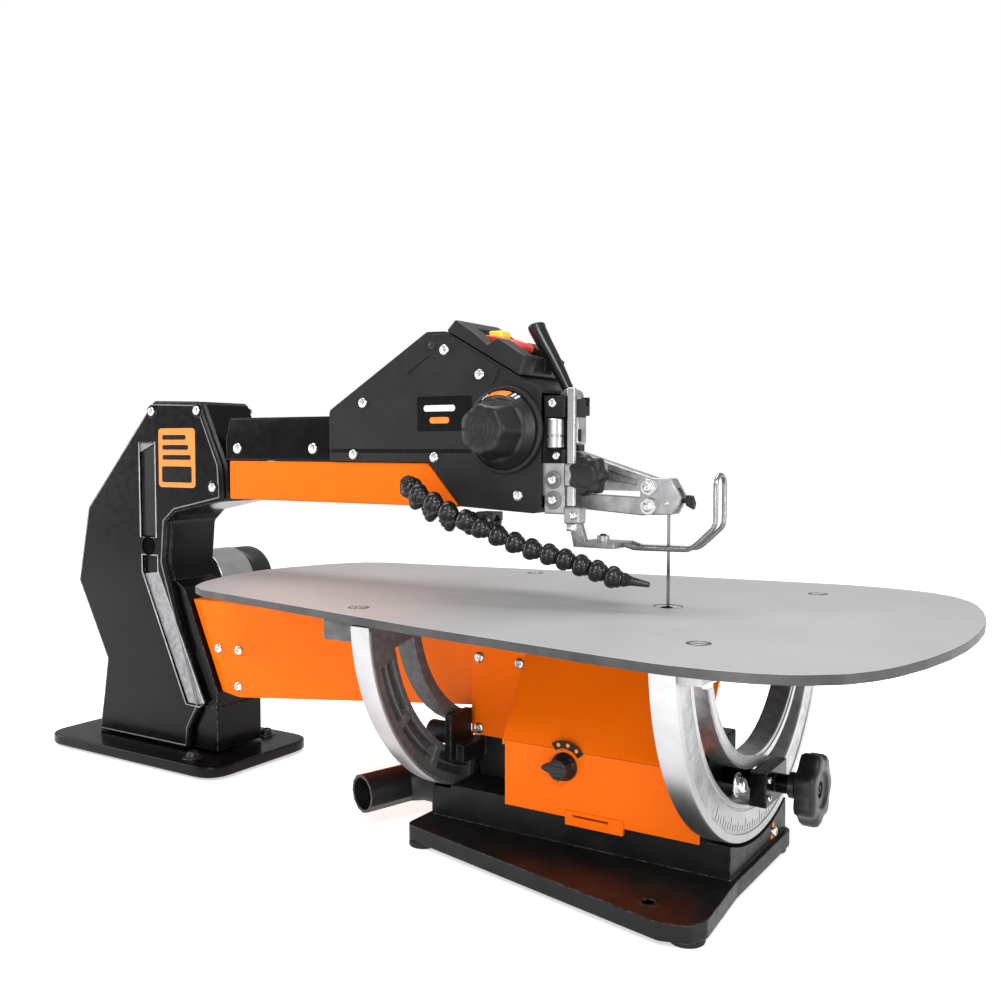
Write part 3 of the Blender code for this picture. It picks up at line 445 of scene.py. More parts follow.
def tube(name, path, radii, material, sides=16, closed=False):
    """Round bar along a path with one radius, or one for each point."""
    work = bmesh.new()
    count = len(path)
    if not isinstance(radii, (list, tuple)):
        radii = [radii] * count
    side = None
    loops = []
    for index, spot in enumerate(path):
        before = path[index - 1] if index or closed else spot
        after = path[(index + 1) % count] if index + 1 < count or closed else spot
        along = (after - before).normalized()
        if side is None:
            side = along.orthogonal().normalized()
        side = (side - along * side.dot(along)).normalized()
        across = along.cross(side)
        loop = []
        for turn in range(sides):
            angle = 2 * math.pi * turn / sides
            reach = (side * math.cos(angle) + across * math.sin(angle)) * radii[index]
            loop.append(work.verts.new(at(*(spot + reach))))
        loops.append(loop)
    pairs = list(zip(loops, loops[1:]))
    if closed:
        shift = min(range(sides), key=lambda s: (loops[-1][0].co - loops[0][s].co).length)
        pairs.append((loops[-1], loops[0][shift:] + loops[0][:shift]))
    for first, second in pairs:
        for turn in range(sides):
            after = (turn + 1) % sides
            work.faces.new([first[turn], first[after], second[after], second[turn]])
    if not closed:
        work.faces.new(loops[0])
        work.faces.new(loops[-1])
    return into_object(name, work, material, TUBE_SMOOTH)


def band(name, section, axis_point, first, last, material, count=40, axis="x"):
    """Partial turned strip; section is (radius, depth) corners and angles are in degrees."""
    work = bmesh.new()
    loops = []
    for step in range(count + 1):
        turn = math.radians(first + (last - first) * step / count)
        loop = []
        for radius, depth in section:
            a, b = radius * math.cos(turn), radius * math.sin(turn)
            spot = (depth, a, b) if axis == "x" else (a, depth, b)
            loop.append(work.verts.new(at(*(Vector(axis_point) + Vector(spot)))))
        loops.append(loop)
    sides = len(section)
    for one, two in zip(loops, loops[1:]):
        for corner in range(sides):
            after = (corner + 1) % sides
            work.faces.new([one[corner], one[after], two[after], two[corner]])
    work.faces.new(loops[0])
    work.faces.new(loops[-1])
    return into_object(name, work, material)


# ------------------------------------------------------------------ table and trunnions
def dress_table():
    top = refine("table", TABLE, 0.6, 2)
    top.data.materials.append(TABLE_SIDE_SHADE)
    # faces not facing up take the darker finish, painted shade on the table's sides
    for face in top.data.polygons:
        if face.normal.z < 0.7:
            face.material_index = 1
    refine("table_insert", TABLE, 0.4)
    rim = turned("insert_rim", [(11.5, -0.4), (11.5, 0.06), (11.1, 0.08), (11.1, -0.4)],
                 (0, 0, 0), (0, 0, 1), BLACK_OXIDE, 64)
    fit(rim, "table_assembly", "bright_steel")
    for index, (x, y) in enumerate(((78, -133.5), (78, 133.5), (-197, -133.5), (-197, 133.5))):
        # dark ring round each screw: painted shade standing in for the countersink
        countersink_shade = turned(f"table_screw_countersink_shade_{index + 1}",
                      [(8.2, 0.02), (8.2, 0.1), (7.6, 0.14), (6.4, 0.14), (6.2, 0.02)],
                      (x, y, 0), (0, 0, 1), BLACK_OXIDE, 48)
        fit(countersink_shade, "table_assembly", "bright_steel")
        head = turned(f"table_screw_{index + 1}",
                      [(6.2, 0.0), (6.2, 0.2), (5.9, 0.3), (plus(4.0, 1.0), 0.3),
                       (plus(4.0, 1.0), 0.05), (0, 0.05)],
                      (x, y, 0), (0, 0, 1), STEEL, 48)
        fit(head, "table_assembly", "bright_steel")


def dress_trunnions():
    refine("front_trunnion", CAST, 0.9)
    # rear ring in the darkened web finish: painted shade
    refine("rear_trunnion", SHADED_WEB, 0.7)
    rides = "table_assembly"
    radius = RING_RADIUS
    faces = (("front", FRONT_RING[1], 1, FRONT_RING[0]), ("rear", REAR_RING[0], -1, REAR_RING[1]))
    for name, face, out, back in faces:
        lift = face + 0.7 * out
        section = [(radius - 6.5, face), (radius - 6, lift), (radius - 0.6, lift),
                   (radius + 0.25, face - 0.6 * out), (radius + 0.25, back),
                   (radius - 0.2, back)]
        outer = band(f"{name}_outer_rim", section, (0, 0, 0), 183, 357, MACHINED, 72)
        fit(outer, rides, "cast_aluminium")
        inner = band(f"{name}_slot_rim", [(105.5, face), (106, lift), (110.5, lift), (111, face)],
                     (0, 0, 0), 186, 354, MACHINED, 60)
        fit(inner, rides, "cast_aluminium")
    face = REAR_RING[1]
    far = band("rear_front_rim", [(radius - 2.6, face), (radius - 2.2, face + 0.6),
                                  (radius - 0.8, face + 0.6), (radius - 0.2, face)],
               (0, 0, 0), 184, 356, DARK_CAST, 72)
    fit(far, rides, "cast_aluminium")
    # real rib, lighter than the shaded web around it: a painted highlight line
    rib = band("rear_web_rib", [(146.0, face - 7.2), (146.5, face - 1.5),
                                (147.8, face - 1.5), (148.3, face - 7.2)],
               (0, 0, 0), 195, 345, DARK_CAST, 60)
    fit(rib, rides, "cast_aluminium")
    face = FRONT_RING[1]
    slot_lip = band("front_slot_lip", [(135.4, face), (136, face + 0.7), (139, face + 0.7),
                                       (139.6, face)],
                    (0, 0, 0), 190, 350, MACHINED, 60)
    fit(slot_lip, rides, "cast_aluminium")
    reach = SCALE_RADIUS
    scale = band("tilt_scale", [(141, face - 0.2), (141, SCALE_FACE), (reach + 0.5, SCALE_FACE),
                                (reach + 0.5, face - 0.2)],
                 (0, 0, 0), 232, 284, MACHINED, 40)
    fit(scale, rides, "cast_aluminium")
    for index in range(SCALE_MARKS):
        angle = SCALE_START + SCALE_STEP * index
        length = 9.0 if index % 6 == 0 else (6.5 if index % 3 == 0 else 4.5)
        tick = band(f"tilt_scale_tick_{index + 1}",
                    [(reach - length, SCALE_FACE - 0.05), (reach - length, SCALE_FACE + 0.1),
                     (reach, SCALE_FACE + 0.1), (reach, SCALE_FACE - 0.05)],
                    (0, 0, 0), angle - 0.14, angle + 0.14, PRINT_AND_SHADE_BLACK, 1)
        fit(tick, rides, "black_plastic")
    for name, x, y in (("front_near", 84, -138), ("front_far", 84, 138)):
        screw(f"{name}_pad_screw", (x, y, -21.4), (0, 0, -1), 5.2, rides, "hex", washer=7.5,
              height=5.0)
    for name, y in (("near", -133.5), ("far", 133.5)):
        screw(f"rear_{name}_pad_screw", (-195, y, -21.4), (0, 0, -1), 5.2, rides, "hex",
              washer=7.5, height=5.0)


# ------------------------------------------------------------------ base
def dress_base():
    refine("front_base", CAST_BLACK, 1.8, 3)
    refine("pedestal", CAST_BLACK, 1.0)
    refine("dust_port", BLACK_PLASTIC, 0.5)
    refine("rear_guide_roller", BLACK_PLASTIC, 1.0)
    for index in range(4):
        refine(f"base_foot_{index + 1}", RUBBER, 1.0)
    rim = turned("base_bolt_boss", [(8.4, -0.3), (8.2, 0.5), (7.6, 0.7), (4.7, 0.7), (4.5, -0.3)],
                 (41, -124, -178), (0, 0, 1), CAST_BLACK, 40)
    fit(rim, "frame", "gloss_black")
    screw("base_pointer_screw", (75.2, 30, -171), (1, 0, 0), 4.0, height=3.0)
    pointer = plate("tilt_pointer", [(25, -176), (35, -176), (31, -164), (29, -164)], "yz",
                    75.0, 75.8, ORANGE_INK, 0.2)
    fit(pointer, "frame", "orange")
    screw("rear_roller_bracket_screw", (-163.3, -31, -118), (-1, 0, 0), 4.5, height=2.6,
          drive="hex")


def dress_tilt_lock():
    refine("tilt_clamp", GLOSS_BLACK, 0.8)
    knob = turned("tilt_knob_body",
                  [(8, 0), (11, 0.2), (lobed(25.5, 3.0, 7), 1.2), (lobed(26.9, 3.6, 7), 3.4),
                   (lobed(27.0, 3.8, 7), 11), (lobed(26, 3.6, 7), 13.8),
                   (lobed(23.4, 3.0, 7), 15.4), (15, 15.7), (13.5, 15.3), (12, 13.8), (6, 13.5),
                   (5.2, 10), (0, 10)],
                  (105.3, 0, LOCK_Z), (1, 0, 0), BLACK_PLASTIC, KNOB_SIDES, KNOB_SMOOTH)
    fit(knob, "tilt_knob", "black_plastic", "tilt_lock_knob")
    screw("tilt_knob_screw", (115.4, 0, LOCK_Z), (1, 0, 0), 4.2, "tilt_knob", "hex",
          BLACK_OXIDE, 3.0)
    screw("clamp_bolt", (75.2, -51, -113), (1, 0, 0), 5.4, "frame", "hex", washer=8.6,
          height=5.5)
    screw("collar_pin_upper", (87, -17, -117), (1, 0, 0), 2.4, height=1.6)
    screw("collar_pin_lower", (87, -17, -130), (1, 0, 0), 2.4, height=1.6)
    ring = turned("clamp_shaft_ring", [(7.2, 0), (9.5, 0.4), (9.5, 4.6), (7.2, 5.0)],
                  (97, 0, LOCK_Z), (1, 0, 0), BLACK_OXIDE, 40)
    fit(ring, "frame", "gloss_black")


# ------------------------------------------------------------------ tower and motor
def dress_tower():
    refine("tower_side_cover", GLOSS_BLACK, 1.6, 3)
    refine("tower_frame", GLOSS_BLACK, 2.0, 3)
    refine("tower_foot_plate", GLOSS_BLACK, 1.6, 3)
    refine("tower_foot_rear", RUBBER, 0.8)
    refine("tower_foot_front", RUBBER, 0.8)
    near = -SIDE_FACE
    upper = [(-569, 126), (-547, 126), (-547, 31), (-569, 31)]
    lower = [(-567, -8), (-545.5, -5), (-480.5, -131), (-486, -134.5), (-503.5, -134.5)]
    floor = plate("groove_upper_floor", upper, "xz", near + 3.4, near + 2.2, CAST_BLACK, 0.6)
    fit(floor, "frame", "gloss_black")
    strip = plate("groove_lower_strip", lower, "xz", near + 3.4, near + 1.4, GROOVE, 0.5)
    fit(strip, "frame", "cast_aluminium")
    # bright tubes along the groove outlines: painted highlights where the chamfers catch the lamps
    shapes = ([(-570.2, 127), (-546, 127.4), (-545.8, 30), (-570, 30)],
              [(-544, 12), (-544, -4), (-479, -132), (-485, -136.2), (-505, -136), (-568, -6),
               (-568.3, 12)])
    for index, outline in enumerate(shapes):
        path = [Vector((x, near + 0.1, z)) for x, z in outline]
        highlight_trim = tube(f"groove_highlight_edge_{index + 1}", path, 0.75, CAST, 10, True)
        fit(highlight_trim, "frame", "gloss_black")
    # lighter triangle at the top of the upper groove: painted highlight of its sloped end
    highlight_facet = plate("groove_highlight_facet", [(-569.6, 117), (-546.6, 126.4), (-569.6, 126.4)], "xz",
                  near + 3.0, near + 0.5, DARK_CAST, 0.6)
    fit(highlight_facet, "frame", "gloss_black")
    rim = [(-544, 165), (-484.5, 163), (-456.5, 104.5), (-454.5, 73.5), (-519, 60.5),
           (-535, 48), (-539, 5), (-489.5, -135), (-504.2, -159), (-506, -178),
           (-637.5, -178.5), (-624.3, -102), (-669, -21), (-651.6, 57), (-549, 165)]
    # lighter bead round the tower's outline: painted highlight of its rounded edge
    highlight_bead = tube("tower_edge_highlight_bead", [Vector((x, near, z)) for x, z in rim], 0.7, DARK_CAST, 10,
                True)
    fit(highlight_bead, "frame", "gloss_black")
    hole = turned("tower_pivot_bush", [(9.8, -0.4), (9.6, 0.4), (8.9, 0.5), (7.9, 0.1),
                                       (7.8, -3.5), (0, -3.5)],
                  (-558, near, 21), (0, -1, 0), RECESS, 48)
    fit(hole, "frame", "bright_steel")
    for index, (x, z) in enumerate(((-549, 158), (-483, 158), (-462, 83))):
        boss = turned(f"tower_boss_{index + 1}", [(7.4, -0.4), (7.2, 0.7), (6.6, 1.0), (0, 1.0)],
                      (x, near, z), (0, -1, 0), GLOSS_BLACK, 40)
        fit(boss, "frame", "gloss_black")
        screw(f"tower_screw_{index + 1}", (x, near - 1.0, z), (0, -1, 0), 4.4, drive="hex")
        screw(f"tower_far_screw_{index + 1}", (x, -near, z), (0, 1, 0), 4.4, drive="hex")
    screw("tower_foot_bolt", (-478, -50, -182), (0, 0, 1), 6.5, drive="hex", height=5.5,
          material=BLACK_OXIDE, washer=10)
    screw("tower_foot_bolt_far", (-478, 50, -182), (0, 0, 1), 6.5, drive="hex", height=5.5,
          material=BLACK_OXIDE, washer=10)
    badge = plate("tower_badge", rounded((-540, -487), (82, 141), 4), "xz", near - 0.5,
                  near + 0.2, ORANGE_INK, 0.15)
    fit(badge, "frame", "orange")
    for index, z in enumerate((132, 122, 112)):
        bar = plate(f"tower_badge_bar_{index + 1}",
                    rounded((-534, -500 + 3.5 * index), (z - 2.4, z + 2.4), 2), "xz",
                    near - 0.7, near - 0.4, PRINT_AND_SHADE_BLACK)
        fit(bar, "frame", "gloss_black")
    field = plate("tower_badge_field", rounded((-535, -492), (87, 103), 2), "xz", near - 0.7,
                  near - 0.4, PRINT_AND_SHADE_BLACK)
    fit(field, "frame", "gloss_black")


def dress_motor():
    refine("motor_body", MOTOR, 0.8)
    refine("motor_end_cap", BLACK_PLASTIC, 0.0)
    refine("motor_shaft", STEEL)
    centre = JOINTS["motor_spin"]["pos_m"]
    x, z = (centre[0] - BLADE_LINE.x) / MM, (centre[2] - BLADE_LINE.z) / MM
    # near-black discs on the cap: painted shade standing in for vent slots
    for index in range(10):
        angle = math.radians(36 * index)
        slot = turned(f"motor_vent_shade_{index + 1}", [(2.2, -0.2), (2.2, 0.25), (1.4, 0.3), (0, 0.1)],
                      (x + 22 * math.cos(angle), MOTOR_CAP_FACE, z + 22 * math.sin(angle)),
                      (0, 1, 0), PRINT_AND_SHADE_BLACK, 16)
        fit(slot, "frame", "black_plastic")
    for index in range(3):
        angle = math.radians(90 + 120 * index)
        screw(f"motor_cap_screw_{index + 1}",
              (x + 29 * math.cos(angle), MOTOR_CAP_FACE - 0.4, z + 29 * math.sin(angle)),
              (0, 1, 0), 3.0)


# ------------------------------------------------------------------ lower housing
def dress_housing():
    refine("lower_housing", ORANGE, 1.2, 3)
    refine("lower_front_cap", CHARCOAL, 1.0)
    refine("side_cover", ORANGE, 0.5)
    refine("access_door", ORANGE, 0.5)
    refine("lower_pivot_pin", STEEL)
    for index, (x, z) in enumerate(((-471, -78), (-443, -77), (-444, -113))):
        screw(f"housing_screw_{index + 1}", (x, -HOUSING_FACE, z), (0, -1, 0), 5.0)
        screw(f"housing_far_screw_{index + 1}", (x, HOUSING_FACE, z), (0, 1, 0), 5.0)
    for index, (x, z) in enumerate(((-154, -51), (-115, -52), (-154, -110))):
        screw(f"cover_screw_{index + 1}", (x, -30.5, z), (0, -1, 0), 4.6)
    latch = LATCH
    face = DOOR_FACE
    mark = band("latch_mark", [(13.5, face - 0.3), (13.5, face + 0.1), (19.5, face + 0.1),
                               (19.5, face - 0.3)],
                (latch[0], 0, latch[1]), 35, 125, PRINT_AND_SHADE_BLACK, 20, "y")
    fit(mark, "door", "black_plastic")
    for index, angle in enumerate((52, 80, 108)):
        turn = math.radians(angle)
        dot = turned(f"latch_mark_dot_{index + 1}", [(1.5, -0.1), (1.5, 0.25), (0, 0.25)],
                     (latch[0] + 16.5 * math.cos(turn), face - 0.25,
                      latch[1] + 16.5 * math.sin(turn)), (0, -1, 0), ORANGE_INK, 20)
        fit(dot, "door", "orange")
    knob = turned("latch_knob", [(10.6, 0), (10.6, 2.2), (9.6, 3.4), (lobed(9.2, 0.8, 12), 4.2),
                                 (lobed(8.6, 0.8, 12), 10.6), (7.6, 11.8), (6.2, 12.0),
                                 (5.6, 11.4), (0, 11.4)],
                  (latch[0], face - 0.1, latch[1]), (0, -1, 0), BLACK_PLASTIC, 96, KNOB_SMOOTH)
    fit(knob, "latch", "black_plastic", "door_latch")
    pointer = plate("latch_pointer_wing",
                    [(latch[0] - 14, latch[1] - 1.2), (latch[0] - 14, latch[1] + 1.2),
                     (latch[0] - 8, latch[1] + 3.4), (latch[0] + 7, latch[1] + 2.6),
                     (latch[0] + 7, latch[1] - 2.6), (latch[0] - 8, latch[1] - 3.4)],
                    "xz", -79.9, -70.5, BLACK_PLASTIC, 0.7)
    fit(pointer, "latch", "black_plastic")


# ------------------------------------------------------------------ upper arm and head
def dress_upper_arm():
    half = [(ARM_FACE, 109.5), (ARM_FACE, 130.5), (25, 150.5)]
    section = half + [(-y, z) for y, z in reversed(half)]
    channel = plate("upper_arm_channel", section, "yz", -448, -240, GLOSS_BLACK, 1.4, 3)
    fit(channel, "frame", "gloss_black", "upper_arm_housing")
    refine("upper_arm_cover", ORANGE, 1.0, 3)
    for index, x in enumerate((-431, -335)):
        screw(f"arm_screw_{index + 1}", (x, -ARM_FACE, 121), (0, -1, 0), 5.2, drive="hex")
        screw(f"arm_far_screw_{index + 1}", (x, ARM_FACE, 121), (0, 1, 0), 5.2, drive="hex")


def dress_head():
    refine("head_cover", CHARCOAL, 1.4, 3)
    block = refine("head_front_block", CAST, 1.0, 3)
    two_tone(block, 146.0, CHARCOAL)
    # near-black plate: painted shade standing in for the slot
    slot = plate("front_block_slot", rounded((-20, -15), (127, 137), 1.5), "yz", -68.6, -68.2,
                 PRINT_AND_SHADE_BLACK)
    fit(slot, "frame", "black_plastic")
    near = -SIDE_FACE
    for tag, side in (("near", -1), ("far", 1)):
        groove = plate(f"head_groove_shadow_{tag}", [(-311, 117.2), (-311, 121.3), (-152, 121.3),
                                                     (-152, 117.2)], "xz", side * 33.1,
                       side * 33.6, PRINT_AND_SHADE_BLACK)
        fit(groove, "frame", "black_plastic")
        flange = plate(f"head_flange_{tag}",
                       [(-204, 216.6), (-187, 216.4), (-133, 186.5), (-139, 173), (-190, 196),
                        (-203, 199), (-226, 184.5), (-226, 203.5)], "xz", side * 33.8,
                       side * FLANGE_FACE, CHARCOAL, 0.6)
        fit(flange, "frame", "charcoal")
        places = ((-186, 203), (-151, 181.5), (-274, 161), (-285, 116), (-197, 114),
                  (-115, 84))
        for index, (x, z) in enumerate(places):
            depth = FLANGE_FACE if index < 2 else SIDE_FACE
            screw(f"head_screw_{tag}_{index + 1}", (x, side * depth, z), (0, side, 0), 4.6,
                  drive="hex")
        pin = turned(f"head_pin_{tag}", [(3.2, -0.3), (3.2, 0.6), (2.2, 1.0), (0, 1.0)],
                     (-199, side * FLANGE_FACE, 207.5), (0, side, 0), BLACK_OXIDE, 24)
        fit(pin, "frame", "bright_steel")
    label = plate("speed_label", rounded((-215, -160), (136, 165), 1.5), "xz", near - 0.3,
                  near + 0.2, PRINT_AND_SHADE_BLACK)
    fit(label, "frame", "black_plastic")
    for index, (low, high, z, ink) in enumerate(((-208, -176, 155, WHITE_INK),
                                                 (-202, -182, 145, ORANGE_INK))):
        bar = plate(f"speed_label_bar_{index + 1}", rounded((low, high), (z - 2.6, z + 2.6), 2.4),
                    "xz", near - 0.45, near - 0.25, ink)
        fit(bar, "frame", "charcoal")
    refine("switch_box", BLACK_PLASTIC, 1.2, 3)
    refine("switch_paddle", RED, 0.8)
    refine("switch_key", YELLOW, 0.7)


def dress_dial():
    x, z = DIAL
    ring = turned("dial_flange", [(35.5, 0.0), (35.5, 2.4), (34.6, 3.6), (32.6, 4.2), (31.6, 3.6),
                                  (31.2, 3.0), (0, 3.0)],
                  (x, -34.3, z), (0, -1, 0), CHARCOAL, 96)
    fit(ring, "frame", "black_plastic", "speed_dial_ring")
    face = lobed(18.0, 0.9, 7)
    grip = turned("dial_body",
                  [(30.6, 0.2), (30.8, 1.4), (30.0, 2.4), (26.6, 9.4), (25.6, 10.4),
                   (lobed(24.8, 1.7, 7), 11.2), (lobed(24.4, 2.0, 7), 13.4),
                   (lobed(20.6, 1.5, 7), 29.6), (lobed(19.8, 1.4, 7), 31.8), (face, 33.0),
                   (12.0, 33.1), (11.6, 32.7), (11.0, 32.7), (10.6, 33.1), (8.0, 33.1),
                   (7.6, 32.7), (7.0, 32.7), (6.6, 33.1), (4.2, 33.1), (3.8, 32.7), (0, 32.7)],
                  (x, -37.9, z), (0, -1, 0), BLACK_PLASTIC, KNOB_SIDES, KNOB_SMOOTH)
    fit(grip, "dial", "black_plastic", "speed_dial")
    patch = band("dial_indicator", [(31.1, -40.0), (30.5, -39.9), (27.2, -46.6), (27.6, -47.2)],
                 (x, 0, z), 72, 108, ORANGE_INK, 16, "y")
    fit(patch, "frame", "orange")
    for index, angle in enumerate((58, 65, 115, 122)):
        tick = band(f"dial_tick_{index + 1}", [(31.4, -40.0), (30.7, -39.8), (28.4, -44.6),
                                               (28.9, -45.0)],
                    (x, 0, z), angle - 1.6, angle + 1.6, WHITE_INK, 2, "y")
        fit(tick, "frame", "charcoal")


def dress_lever():
    path = smooth_path([LEVER_PIVOT, (-91, 0, 174), (-96.5, 0, 184), (-103, 0, 195),
                        (-111, 0, 208), (-117.2, 0, 219), (-119.2, 0, 224.4)], 6)
    count = len(path) - 1
    dome = 0.88
    radii = []
    for index in range(count + 1):
        t = index / count
        tip = math.sqrt(max(1 - ((t - dome) / (1 - dome)) ** 2, 0.02)) if t > dome else 1.0
        radii.append((4.2 + 3.5 * t) * tip)
    handle = tube("lever_handle", path, radii, HOSE_BLACK, 24)
    fit(handle, "lever", "black_plastic", "tension_lever")
    hub = turned("lever_hub", [(5.8, -9), (6.5, -8.2), (6.5, 8.2), (5.8, 9)], LEVER_PIVOT,
                 (0, 1, 0), STEEL, 40)
    fit(hub, "lever", "black_plastic")


def dress_bracket():
    frame_piece = refine("head_frame", CAST, 1.0, 3)
    two_tone(frame_piece, 110.0, CHARCOAL)
    cylinder = turned("tension_drum", [(6.2, -11.6), (7.0, -10.8), (7.0, -3), (6.4, -2.4),
                                       (6.4, -1.6), (7.0, -1.0), (7.0, 10.8), (6.2, 11.6)],
                      (-84, -29, 133.5), (0, 0, 1), MACHINED, 48)
    fit(cylinder, "frame", "bright_steel", "tension_cylinder")
    # near-black plate: painted shade in the bracket's gap
    gap_shade = plate("bracket_gap", rounded((-92, -78), (110, 120.8), 1.5), "xz", -31.0, -30.0, PRINT_AND_SHADE_BLACK)
    fit(gap_shade, "frame", "black_plastic")
    for index, (x, z) in enumerate(((-85, 97), (-85, 81))):
        boss = turned(f"bracket_boss_{index + 1}",
                      [(7.2, -0.3), (7.2, 0.8), (6.6, 1.3), (5.6, 1.3), (5.2, 0.4), (0, 0.4)],
                      (x, -30.5, z), (0, -1, 0), DARK_CAST, 48)
        fit(boss, "frame", "cast_aluminium")
        screw(f"bracket_screw_{index + 1}", (x, -30.9, z), (0, -1, 0), 4.2, drive="hex",
              height=2.6)
        screw(f"bracket_far_screw_{index + 1}", (-91, 28, z), (0, 1, 0), 2.2, drive="hex")
    screw("bracket_top_screw", (-86, -30.5, 157), (0, -1, 0), 3.6, drive="hex")
    screw("bracket_gap_screw", (-82, -31.0, 116), (0, -1, 0), 3.4, drive="hex")


def dress_hold_down():
    refine("hold_down_rod", STEEL, 0.5)
    refine("hold_down_clamp", CAST, 1.0)
    refine("foot_bracket", CAST, 0.8)
    knob = turned("hold_down_grip",
                  [(2.9, -8.3), (2.9, -0.3), (9, 0), (lobed(14.6, 2.6, 7), 0.3),
                   (lobed(16.4, 3.0, 7), 1.8), (lobed(16.4, 3.1, 7), 8.2),
                   (lobed(15.4, 2.9, 7), 10.4), (lobed(13.8, 2.2, 7), 11.4), (9.0, 11.5),
                   (8.6, 12.0), (7.8, 12.2), (0, 12.2)],
                  (-50.5, -31.3, 101), (0, -1, 0), BLACK_PLASTIC, KNOB_SIDES, KNOB_SMOOTH)
    fit(knob, "hold_down_screw", "black_plastic", "hold_down_knob")
    nut = turned("foot_nut", [(hexagon(3.7), -2.8), (hexagon(3.9), -2.4), (hexagon(3.9), 2.4),
                              (hexagon(3.7), 2.8)],
                 (-70.5, -27, 60), (0, 0, 1), ZINC, 48)
    fit(nut, "hold_down", "bright_steel")
    screw("foot_bracket_screw", (-66, -32.5, 69.5), (0, -1, 0), 3.2, "hold_down", "hex")
    screw("foot_stud_screw", (-52, -8, 53), (0, 0, 1), 2.8, "hold_down", "cross",
          BLACK_OXIDE)
    side = [(-33.4, 47), (-28, 45.5), (-23, 44.6), (0, 45.0), (17, 45.4), (21, 46.5), (25, 49),
            (37, 60), (40, 64), (41, 69), (41, 92)]
    near = [(x, -9, z) for x, z in side]
    top = [(41, 9 * math.cos(a), 94 + 8 * math.sin(a))
           for a in (math.radians(180 - 22.5 * index) for index in range(1, 8))]
    far = [(x, 9, z) for x, z in reversed(side)]
    wire = tube("foot_wire", smooth_path(near + top + far, 4), 1.85, WIRE, 14)
    fit(wire, "hold_down", "bright_steel", "wire_foot")


def dress_drive():
    refine("upper_rocker", CAST, 0.8)
    refine("lower_rocker", CAST, 0.8)
    refine("upper_push_rod", STEEL, 0.5)
    refine("lower_push_rod", STEEL, 0.5)
    refine("rear_rocker", STEEL, 0.6)
    refine("blade", WIRE)
    refine("upper_blade_clamp", STEEL, 0.5)
    refine("lower_blade_clamp", STEEL, 0.5)
    refine("upper_thumbscrew", BLACK_PLASTIC, 0.8, 3)
    refine("lower_thumbscrew", BLACK_PLASTIC, 0.8, 3)
    for index, z in enumerate((92, 77)):
        screw(f"rocker_washer_screw_{index + 1}", (-13, -10.4, z), (0, -1, 0), 3.9, "upper_arm",
              "hex", washer=6.4, height=2.2)
    screw("rocker_pin_screw", (1, -7, 80), (0, -1, 0), 1.8, "upper_arm", "hex", height=0.9)


# ------------------------------------------------------------------ hose
def links(name, points, body, node, grow=1.0):
    """Ball-and-cup hose sections strung along a path, made as one piece."""
    profile = [(4.4, -7.6), (6.4, -7.0), (8.0, -5.6), (8.7, -3.4), (8.6, -1.2), (7.8, 0.8),
               (6.8, 1.4), (6.6, 3.0), (5.6, 4.8), (4.4, 5.6), (4.2, 7.2)]
    work = bmesh.new()
    count = HOSE_SIDES
    for index, point in enumerate(points):
        here = Vector(point)
        before = Vector(points[max(index - 1, 0)])
        after = Vector(points[min(index + 1, len(points) - 1)])
        place = Matrix.Translation(at(*here)) @ turn_to(after - before)
        loops = []
        for radius, height in profile:
            loops.append([work.verts.new(place @ (Vector((
                grow * radius * math.cos(2 * math.pi * step / count),
                grow * radius * math.sin(2 * math.pi * step / count), height)) * MM))
                for step in range(count)])
        for first, second in zip(loops, loops[1:]):
            for step in range(count):
                after_step = (step + 1) % count
                work.faces.new([first[step], first[after_step], second[after_step],
                                second[step]])
        work.faces.new(loops[0])
        work.faces.new(loops[-1])
    item = into_object(name, work, HOSE_BLACK, TUBE_SMOOTH)
    return fit(item, body, "black_plastic", node)


def dress_hose():
    first = [(-166.5, -29.5, 60), (-180, -38, 63), (-192, -46, 71), (-201, -53, 81),
             (-203, -61, 91)]
    second = [(-187, -68, 84), (-172.5, -68, 77.5), (-158, -68, 70.5), (-143, -65.5, 64.4),
              (-130, -63, 58.5), (-116, -60, 53), (-102, -57.6, 48), (-88, -55, 43.5),
              (-74, -52.4, 40), (-61.5, -49.8, 36.5), (-49, -47.2, 32.5),
              (-36.7, -44.6, 28.8), (-24.5, -42, 24.6)]
    links("hose_links_rear", first, "hose_swivel", "hose_rear", 1.15)
    links("hose_links_front", second, "hose_run", "hose_front")
    refine("hose_mount", HOSE_BLACK, 0.6)
    cup = turned("hose_mount_cup", [(8.2, -13.2), (9.6, -12), (10.4, -9), (10.0, -6), (8.6, -4),
                                    (8.2, -2)], (-150, -22, 69), (0, 0, 1), HOSE_BLACK, 48)
    fit(cup, "frame", "black_plastic")
    tip, end = Vector((-19, -41, 23.9)), Vector((0.5, -36, 20.6))
    length = (end - tip).length
    nozzle = turned("hose_tip", [(5.2, 0), (5.6, 1.2), (5.0, 3.0), (4.0, 5.0), (3.4, 7.0),
                                 (2.0, length), (1.2, length), (1.0, length - 3),
                                 (0, length - 3)],
                    tip, end - tip, HOSE_BLACK, 32)
    fit(nozzle, "nozzle", "black_plastic", "hose_nozzle")


# ------------------------------------------------------------------ studio
def area_light(name, place, target, size, power):
    data = bpy.data.lights.new(name, "AREA")
    data.shape = "RECTANGLE"
    data.size, data.size_y = size
    data.energy = power
    item = bpy.data.objects.new(name, data)
    item.location = place
    item.rotation_euler = (Vector(target) - Vector(place)).to_track_quat("-Z", "Y").to_euler()
    bpy.context.scene.collection.objects.link(item)


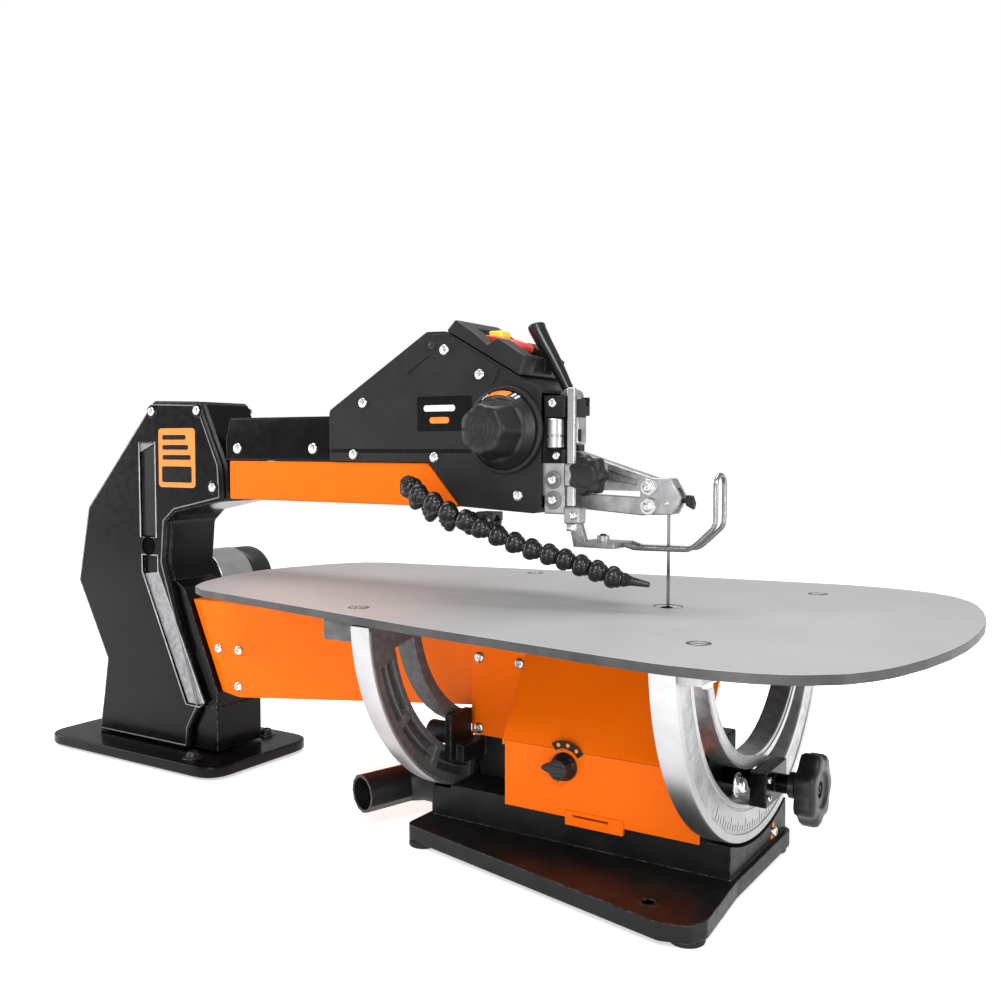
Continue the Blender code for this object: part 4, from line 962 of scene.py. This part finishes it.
def build_studio():
    work = bmesh.new()
    bmesh.ops.create_circle(work, cap_ends=True, segments=96, radius=30.0)
    paint = bpy.data.materials.new("studio_floor")
    paint.use_nodes = True
    shader = paint.node_tree.nodes["Principled BSDF"]
    shader.inputs["Base Color"].default_value = (0.92, 0.92, 0.92, 1.0)
    shader.inputs["Roughness"].default_value = 0.9
    shader.inputs["Specular IOR Level"].default_value = 0.1
    shader.inputs["Emission Color"].default_value = (1.0, 1.0, 1.0, 1.0)
    shader.inputs["Emission Strength"].default_value = FLOOR_GLOW
    floor = into_object("studio_floor", work, paint)
    floor.location.z = -0.0004
    world = bpy.data.worlds.new("studio")
    bpy.context.scene.world = world
    world.use_nodes = True
    tree = world.node_tree
    backdrop = tree.nodes["Background"]
    backdrop.inputs["Color"].default_value = (1.0, 1.0, 1.0, 1.0)
    backdrop.inputs["Strength"].default_value = 1.0
    glow = tree.nodes.new("ShaderNodeBackground")
    glow.inputs["Color"].default_value = (1.0, 1.0, 1.0, 1.0)
    glow.inputs["Strength"].default_value = SURROUND_GLOW
    path = tree.nodes.new("ShaderNodeLightPath")
    choose = tree.nodes.new("ShaderNodeMixShader")
    tree.links.new(path.outputs["Is Camera Ray"], choose.inputs["Fac"])
    tree.links.new(glow.outputs["Background"], choose.inputs[1])
    tree.links.new(backdrop.outputs["Background"], choose.inputs[2])
    tree.links.new(choose.outputs["Shader"], tree.nodes["World Output"].inputs["Surface"])
    bpy.context.scene.view_settings.view_transform = "Standard"
    area_light("key_softbox", (0.9, -1.7, 1.5), (0.1, 0, 0.2), (0.9, 0.7), 24)
    area_light("top_softbox", (-0.3, 0.3, 1.9), (0, 0, 0.2), (1.7, 0.8), 26)
    area_light("side_strip", (-1.9, -0.8, 0.9), (-0.2, 0, 0.2), (0.25, 1.5), 16)
    area_light("front_strip", (1.8, -0.2, 0.7), (0.1, 0, 0.15), (0.25, 1.2), 12)
    area_light("low_fill", (0.5, -1.5, 0.22), (0.12, -0.05, 0.09), (0.8, 0.3), 4)


def build_camera():
    data = bpy.data.cameras.new("photo_view")
    data.lens = LENS
    data.sensor_width = SENSOR
    item = bpy.data.objects.new("photo_view", data)
    item.location = at(*CAMERA_PLACE)
    yaw, pitch, roll = (math.radians(turn) for turn in (CAMERA_YAW, CAMERA_PITCH, CAMERA_ROLL))
    forward = Vector((-math.sin(yaw) * math.cos(pitch), math.cos(yaw) * math.cos(pitch),
                      -math.sin(pitch)))
    aim = forward.to_track_quat("-Z", "Y").to_matrix() @ Matrix.Rotation(-roll, 3, "Z")
    item.rotation_euler = aim.to_euler()
    bpy.context.scene.collection.objects.link(item)
    bpy.context.scene.camera = item


build_camera()
build_studio()
for dress in (dress_table, dress_trunnions, dress_base, dress_tilt_lock, dress_tower,
              dress_motor, dress_housing, dress_upper_arm, dress_head, dress_dial, dress_lever,
              dress_bracket, dress_hold_down, dress_drive, dress_hose):
    dress()
